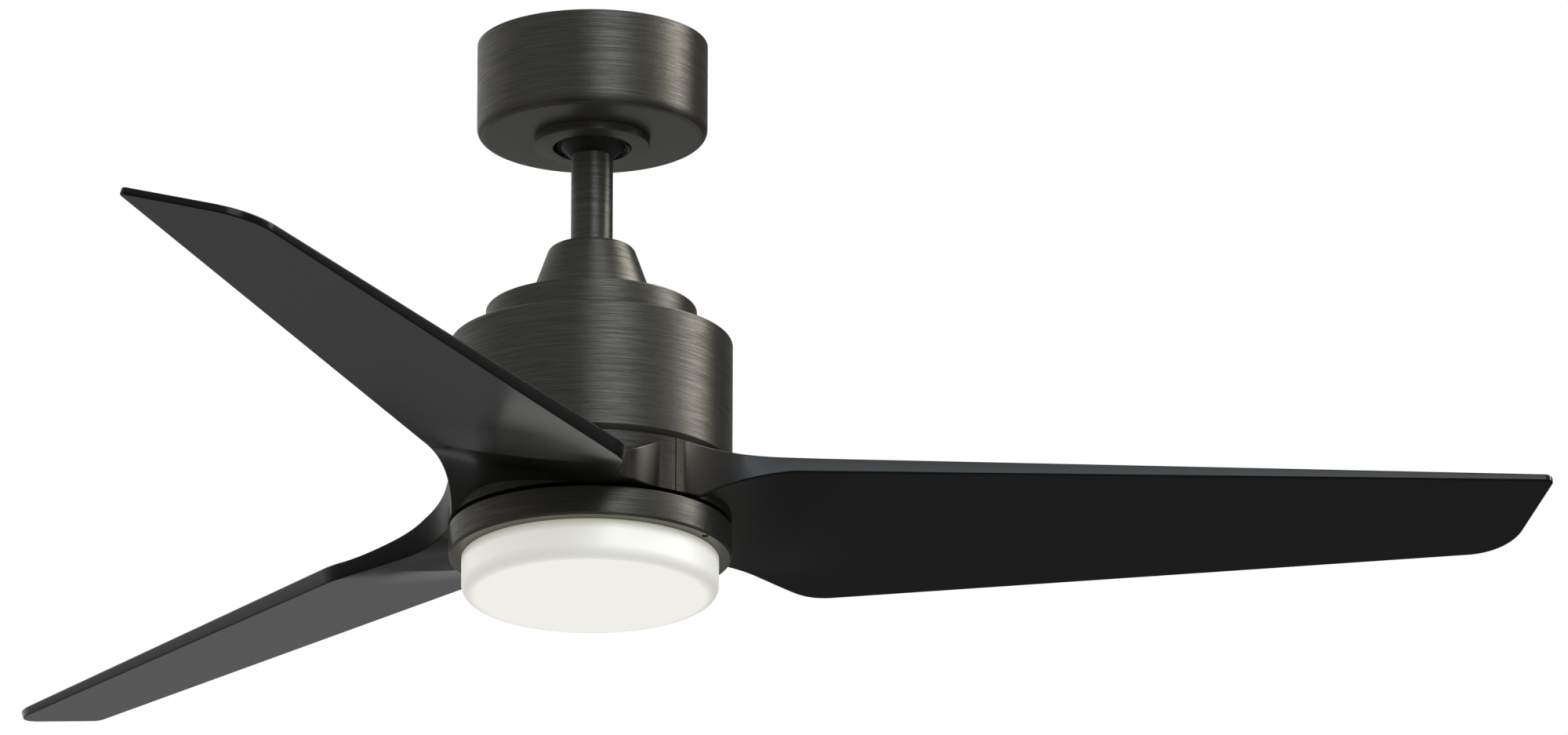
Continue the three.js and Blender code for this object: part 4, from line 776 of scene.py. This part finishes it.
def swept_sector(name, line, half_angle, gap=0.0, around=120):
    """A closed profile of (radius, height) in millimetres swept about +Z from minus to plus an
    angle in radians, drawn in at both ends so that it stops the gap short of each end's plane."""
    t = np.linspace(-1, 1, around)[:, None]
    angle = t * (half_angle - np.arcsin(gap / line[:, 0])[None, :])
    ring = np.stack([line[:, 0] * np.cos(angle), line[:, 0] * np.sin(angle),
                     np.broadcast_to(line[:, 1], angle.shape)], -1)
    count = len(line)
    i, j = np.meshgrid(np.arange(around - 1), np.arange(count), indexing="ij")
    a = (i * count + j).ravel()
    b = (i * count + (j + 1) % count).ravel()
    faces = np.stack([a, a + count, b + count, b], -1).tolist()
    faces.append(list(range(count)))
    faces.append([(around - 1) * count + k for k in range(count)][::-1])
    return finish_mesh(name, ring.reshape(-1, 3) / 1000, faces)


def from_axis(material, place):
    """Distance from the fan's axis in metres."""
    parts = add_node(material, "SeparateXYZ", {"Vector": place})
    level = add_node(material, "CombineXYZ", {"X": parts.outputs["X"], "Y": parts.outputs["Y"]})
    away = add_node(material, "VectorMath", {0: level.outputs["Vector"]}, operation="LENGTH")
    return away.outputs["Value"]


def sprayed_plastic(name, plastic, bronze, near, far):
    """Black moulded plastic that is sprayed bronze at its root: the spray thins out evenly with
    the distance from the axis, from full at one radius in metres to none at another."""
    material, output, place = new_material(name)
    spray = span(material, from_axis(material, place), near, far, 1.0, 0.0)
    return surfaced(material, output, {
        "Base Color": two_tone(material, spray, plastic, bronze),
        "Roughness": span(material, spray, 0.0, 1.0, 0.19, 0.38),
        "Metallic": span(material, spray, 0.0, 1.0, 0.0, 0.7),
        "IOR": 1.53, "Specular IOR Level": 0.23,
        "Normal": bump(material, noise(material, place, 1100.0, 2.0), 0.3, 0.00006)})


def spin(piece, degrees):
    """Turns a piece's mesh about +Z."""
    piece.data.transform(Matrix.Rotation(math.radians(degrees), 4, "Z"))


SPRAY_REACH = 20
LACQUER = brushed_bronze("brushed_bronze_lacquer", "3a3935", "45433e")
ABS = sprayed_plastic("black_moulded_abs", "0c0c0c", "35332f",
                      (DRUM_R + 1) / 1000, (DRUM_R + SPRAY_REACH) / 1000)
root = swept_sector("blade_root", slab(DRUM_IN_R, DRUM_R, DRUM_LOW, DRUM_TOP),
                    math.pi / 3, SEAM / 2)
pocket = swept_sector("pocket", slab(POCKET_IN_R, DRUM_R - DRUM_WALL, DRUM_LOW - 1,
                                     DRUM_TOP - DRUM_WEB), math.radians(POCKET_HALF), 0.0, 60)
carve(root, blade_plate(), operation="UNION")
carve(root, pocket, *[drill(SCREW_HOLE_R, DRUM_TOP - DRUM_WEB - 1, DRUM_TOP + 1, BLADE_SCREW_AT, t)
                      for t in (-40, 40)])
NEAR_WALL = 0.3
middles, outward = face_values(root, "center") * 1000, face_values(root, "normal")
faces_out = (middles[:, :2] * outward[:, :2]).sum(1) > DRUM_R - NEAR_WALL
on_drum = np.hypot(*middles[:, :2].T) < DRUM_R + NEAR_WALL
drum_wall = (np.abs(outward[:, 2]) < 0.02) & faces_out & on_drum
for number in (1, 2, 3):
    blade = add_object(f"fan_blade_{number}", root.data.copy())
    spin(blade, REST_TURN + 120 * (number - 1))
    install(blade, ABS, "rotor", "black_moulded_plastic", f"blade_{number}")
    dress_part(blade, LACQUER, drum_wall)
bpy.data.objects.remove(root)


# ---- Lamp mount ----
# A die-cast aluminium cup on the shaft's foot, inside the blades' ring. Three screws through
# it carry the lamp's ring.

dress(ALUMINIUM, "light_mount")
dress(ZINC, "light_ring_screw_1", "light_ring_screw_2", "light_ring_screw_3")


# ---- Lamp ring ----
# A pressed steel ring in bronze, as wide as the motor. Its inner rim has notches for the
# diffuser's lugs, and a small hole lets warm air out.

RING_WALL = 1.2
RING_HOLE = 22.0
RING_BEND = 0.8
RING_EDGE = 1.6
RING_LIP = 16.4  # its turned-in lower rim
RING_SCREW_AT = 31
LUG_OUT = 3.3  # reach of the diffuser's lugs
NOTCH_HALF = 10  # degrees
NOTCH_TURN = 24
VENT_R = 2.5
VENT_IN = 4.4
VENT_AT = -32.5
ring_out, ring_low, ring_top = edges("light_ring")
ring_mouth = ring_out - RING_LIP
ring_inner, ring_under = ring_out - RING_WALL, ring_top - RING_WALL
ring = turned("lamp_ring", rounded([
    (RING_HOLE, ring_top, 0.3), (ring_out - RING_BEND, ring_top, 0.3),
    (ring_out, ring_top - RING_BEND, 0.3), (ring_out, ring_low + RING_EDGE, 0.5),
    (ring_out - RING_EDGE, ring_low, 0.5), (ring_mouth, ring_low, 0.3),
    (ring_mouth, ring_low + RING_WALL, 0.3), (ring_inner, ring_low + RING_WALL, 0.3),
    (ring_inner, ring_under, 0.3), (RING_HOLE, ring_under, 0.3)], 4), 256)
for at in (0, 120, 240):
    notch = swept_sector("notch", slab(ring_mouth - 1, ring_mouth + LUG_OUT, ring_low - 1,
                                       ring_low + RING_WALL + 1), math.radians(NOTCH_HALF), 0.0, 16)
    spin(notch, at - NOTCH_TURN)
    carve(ring, notch)
carve(ring, drill(VENT_R, ring_low - 1, ring_low + RING_WALL + 1, ring_out - VENT_IN, VENT_AT, 32),
      *[drill(SCREW_HOLE_R, ring_under - 1, ring_top + 1, RING_SCREW_AT, t)
        for t in (90, 210, 330)])
install(ring, BRONZE, "hanging", "brushed_bronze", "light_ring")
# The lamp ring's underside gets the satin copy, painted lighter as painted light.
satin_with_painted_light_below(ring)


# ---- Lamp plate, board and driver ----
# A folded aluminium plate, a white board with nine light chips on it, and a moulded driver.
# All of them are hidden by the diffuser.

BOARD = moulded_plastic("white_solder_mask", "dededa", "e6e6e1", 0.35, 0.0006, 0.00005)
dress(ALUMINIUM, "led_plate")
dress(BOARD, "led_board")
dress(WHITE_PLASTIC, "led_driver")


# ---- Opal diffuser ----
# A shallow drum of opal acrylic with a large round edge. It is lit from inside, and its three
# lugs hold it in the ring after a part turn.

def opal_acrylic(out, low, high):
    """Opal acrylic lit from inside: a glossy skin over a milky body that glows, more on its flat
    bottom than on its round edge and walls. Painted shade: the glow dips along the round edge, and
    in the last millimetres under the lamp's ring the colour and the glow are painted darker and
    greener."""
    material, output, place = new_material("opal_acrylic")
    height = add_node(material, "SeparateXYZ", {"Vector": place}).outputs["Z"]
    reach = from_axis(material, place)
    # Painted shade under the lamp's ring: the colour turns darker and greener and the glow falls in
    # the last 7 millimetres.
    rim = span(material, height, (high - 7) / 1000, high / 1000, 0.0, 1.0)
    middle = span(material, reach, (out - 9) / 1000, (out - 1) / 1000, 1.0, 0.0)
    # Painted shade: less glow on the outer side of the round edge.
    corner = math_node(material, "MULTIPLY",
                       span(material, height, (low + 1) / 1000, (low + 10) / 1000, 1.0, 0.0),
                       span(material, reach, (out - 9) / 1000, (out - 3) / 1000, 0.0, 1.0))
    sides = span(material, rim, 0.0, 1.0, 0.55, 0.3)
    bright = math_node(material, "MULTIPLY_ADD", middle, 0.16, sides)
    return surfaced(material, output, {
        "Base Color": two_tone(material, rim, "d4d3cc", "c8c9ba"),
        "Roughness": 0.38, "IOR": 1.49,
        "Emission Color": two_tone(material, rim, "fefdf5", "f0f1da"),
        "Emission Strength": math_node(material, "MULTIPLY_ADD", corner, -0.13, bright)})


OPAL_WALL = 3.0
OPAL_EDGE = 8.0
OPAL_GAP = 0.3  # below the ring
NECK_GAP = 0.6  # inside the ring's mouth
LUG_LOW = 1.5
LUG_HIGH = 3.1
LUG_HALF = 7  # degrees
opal_out, opal_low, neck_top = edges("opal_diffuser")
opal_top = ring_low - OPAL_GAP
neck = ring_mouth - NECK_GAP
opal_inner, neck_inner = opal_out - OPAL_WALL, neck - OPAL_WALL
opal = turned("opal_bowl", rounded([
    (0.0, opal_low, 0), (opal_out, opal_low, OPAL_EDGE), (opal_out, opal_top, 0.6),
    (neck, opal_top, 0.3), (neck, neck_top, 0.4), (neck_inner, neck_top, 0.4),
    (neck_inner, opal_top - OPAL_WALL, 0.6), (opal_inner, opal_top - OPAL_WALL, 1.0),
    (opal_inner, opal_low + OPAL_WALL, OPAL_EDGE - OPAL_WALL),
    (0.0, opal_low + OPAL_WALL, 0)], 16), 192)
for at in (0, 120, 240):
    lug = swept_sector("lug", slab(neck - 1, neck + LUG_OUT, ring_low + LUG_LOW,
                                   ring_low + LUG_HIGH), math.radians(LUG_HALF), 0.0, 16)
    spin(lug, at)
    carve(opal, lug, operation="UNION")
install(opal, opal_acrylic(opal_out, opal_low, opal_top), "diffuser", "opal", "opal_diffuser")


# ---- Floor and surroundings ----
# A pale floor far below the fan that is clear from underneath, and a soft grey room all round,
# lighter on the left behind the fan. Straight behind the fan the room is plain white.

FLOOR_R = 6.0  # in metres, like its height
FLOOR_Z = -2.6
floor_way = np.radians(np.arange(0, 360, 6))
floor_rim = np.stack([FLOOR_R * np.cos(floor_way), FLOOR_R * np.sin(floor_way),
                      np.full(len(floor_way), FLOOR_Z)], -1)
floor_mesh = bpy.data.meshes.new("floor")
floor_mesh.from_pydata(floor_rim.tolist(), [], [list(range(len(floor_rim)))])
floor = add_object("floor", floor_mesh)
pale, pale_output, _ = new_material("pale_floor")
pale_skin = add_node(pale, "BsdfPrincipled", {"Base Color": linear("a6a6a4"), "Roughness": 0.9})
pale_clear = add_node(pale, "BsdfTransparent")
pale_back = add_node(pale, "NewGeometry").outputs["Backfacing"]
pale_mix = add_node(pale, "MixShader", {0: pale_back, 1: pale_skin.outputs["BSDF"],
                                        2: pale_clear.outputs["BSDF"]})
pale.node_tree.links.new(pale_mix.outputs["Shader"], pale_output.inputs["Surface"])
floor_mesh.materials.append(pale)

ROOM_TONES = ((0.0, 0.2), (0.14, 0.19), (0.34, 0.48), (0.4, 0.2), (0.45, 0.17), (0.52, 0.38),
              (0.62, 0.58), (1.0, 0.62))  # from straight down to straight up, and how light
WHITE_WALL_UP = math.radians(18.5)
world = bpy.data.worlds.new("room")
bpy.context.scene.world = world
world.use_nodes = True
world.node_tree.nodes.clear()
sky_output = add_node(world, "OutputWorld")
sky_way = add_node(world, "TexCoord").outputs["Generated"]
sky_parts = add_node(world, "SeparateXYZ", {"Vector": sky_way})
room = add_node(world, "ValToRGB", {
    "Fac": span(world, sky_parts.outputs["Z"], -1.0, 1.0, 0.0, 1.0)})
stops = room.color_ramp.elements
for at, grey in ROOM_TONES:
    stop = stops[0] if at == 0 else stops[-1] if at == 1 else stops.new(at)
    stop.color = (grey, grey, grey, 1.0)
toward = add_node(world, "VectorMath", {
    0: sky_way, 1: (0.0, math.cos(WHITE_WALL_UP), math.sin(WHITE_WALL_UP))},
    operation="DOT_PRODUCT").outputs["Value"]
white_wall = span(world, toward, math.cos(math.radians(6)), math.cos(math.radians(3)), 0.0, 1.0)
rear = math_node(world, "MAXIMUM", sky_parts.outputs["Y"], 0.0)
rear_side = math_node(world, "MULTIPLY", rear, sky_parts.outputs["X"])
side_light = span(world, rear_side, -0.45, 0.45, 1.45, 0.12)
sided = add_node(world, "VectorMath", {0: room.outputs["Color"], 1: side_light},
                 operation="MULTIPLY")
sky_mix = add_node(world, "Mix", {0: white_wall, 6: sided.outputs["Vector"]}, data_type="RGBA")
sky_mix.inputs[7].default_value = (1.0, 1.0, 1.0, 1.0)
sky = add_node(world, "Background", {"Color": sky_mix.outputs[2], "Strength": 1.0})
world.node_tree.links.new(sky.outputs["Background"], sky_output.inputs["Surface"])


# ---- Lamps ----
# A tall cool softbox a little to the right of the viewer with a weaker one beside it, and two
# warm ones on the right, one high up and one low.

def softbox(name, azimuth, elevation, width, height, power, colour, distance=3.0):
    """An oblong lamp aimed at the motor and unseen itself. Its azimuth goes from the viewer's side
    to the right, in degrees, and its sizes and its distance are in metres."""
    light = bpy.data.lights.new(name, "AREA")
    light.shape = "RECTANGLE"
    light.size = width
    light.size_y = height
    light.energy = power
    light.color = colour
    light.spread = math.radians(75)
    lamp = add_object(name, light)
    lamp.visible_camera = False
    a, e = math.radians(azimuth), math.radians(elevation)
    away = Vector((math.sin(a) * math.cos(e), -math.cos(a) * math.cos(e), math.sin(e)))
    lamp.location = Vector((0, 0, -0.25)) + away * distance
    lamp.rotation_euler = away.to_track_quat("Z", "Y").to_euler()


COOL = (0.86, 0.94, 1.0)
WARM = (1.0, 0.965, 0.9)
softbox("cool_front", 16, 23.5, 2.7, 6.0, 27, COOL, 6.0)
softbox("cool_edge", 35, 33, 0.9, 1.6, 1.2, COOL)
softbox("warm_side", 100, 40, 1.25, 2.5, 15.0, WARM)
softbox("warm_low", 91, 12, 0.6, 0.9, 1.1, WARM)


# ---- Camera ----
# A long lens far in front of the fan and below it, looking up. Its place is in metres and its
# turns are in degrees.

CAMERA_AT = (-0.0915, -22.130, -7.6639)
CAMERA_TURNS = (("Z", -0.580), ("X", 18.561), ("Y", -0.178))
lens = bpy.data.cameras.new("long_lens")
lens.sensor_width = 36.0
lens.lens = 780.0
lens.clip_start = 1.0
lens.clip_end = 200.0
viewer = add_object("viewer", lens)
turns = [Matrix.Rotation(math.radians(angle), 4, axis) for axis, angle in CAMERA_TURNS]
aim = turns[0] @ turns[1] @ turns[2]
right, forward, up = (aim.col[i].to_3d() for i in range(3))
viewer.matrix_world = Matrix.Translation(CAMERA_AT) @ Matrix((
    (right.x, up.x, -forward.x, 0), (right.y, up.y, -forward.y, 0),
    (right.z, up.z, -forward.z, 0), (0, 0, 0, 1)))
bpy.context.scene.camera = viewer
bpy.context.scene.view_settings.view_transform = "Standard"
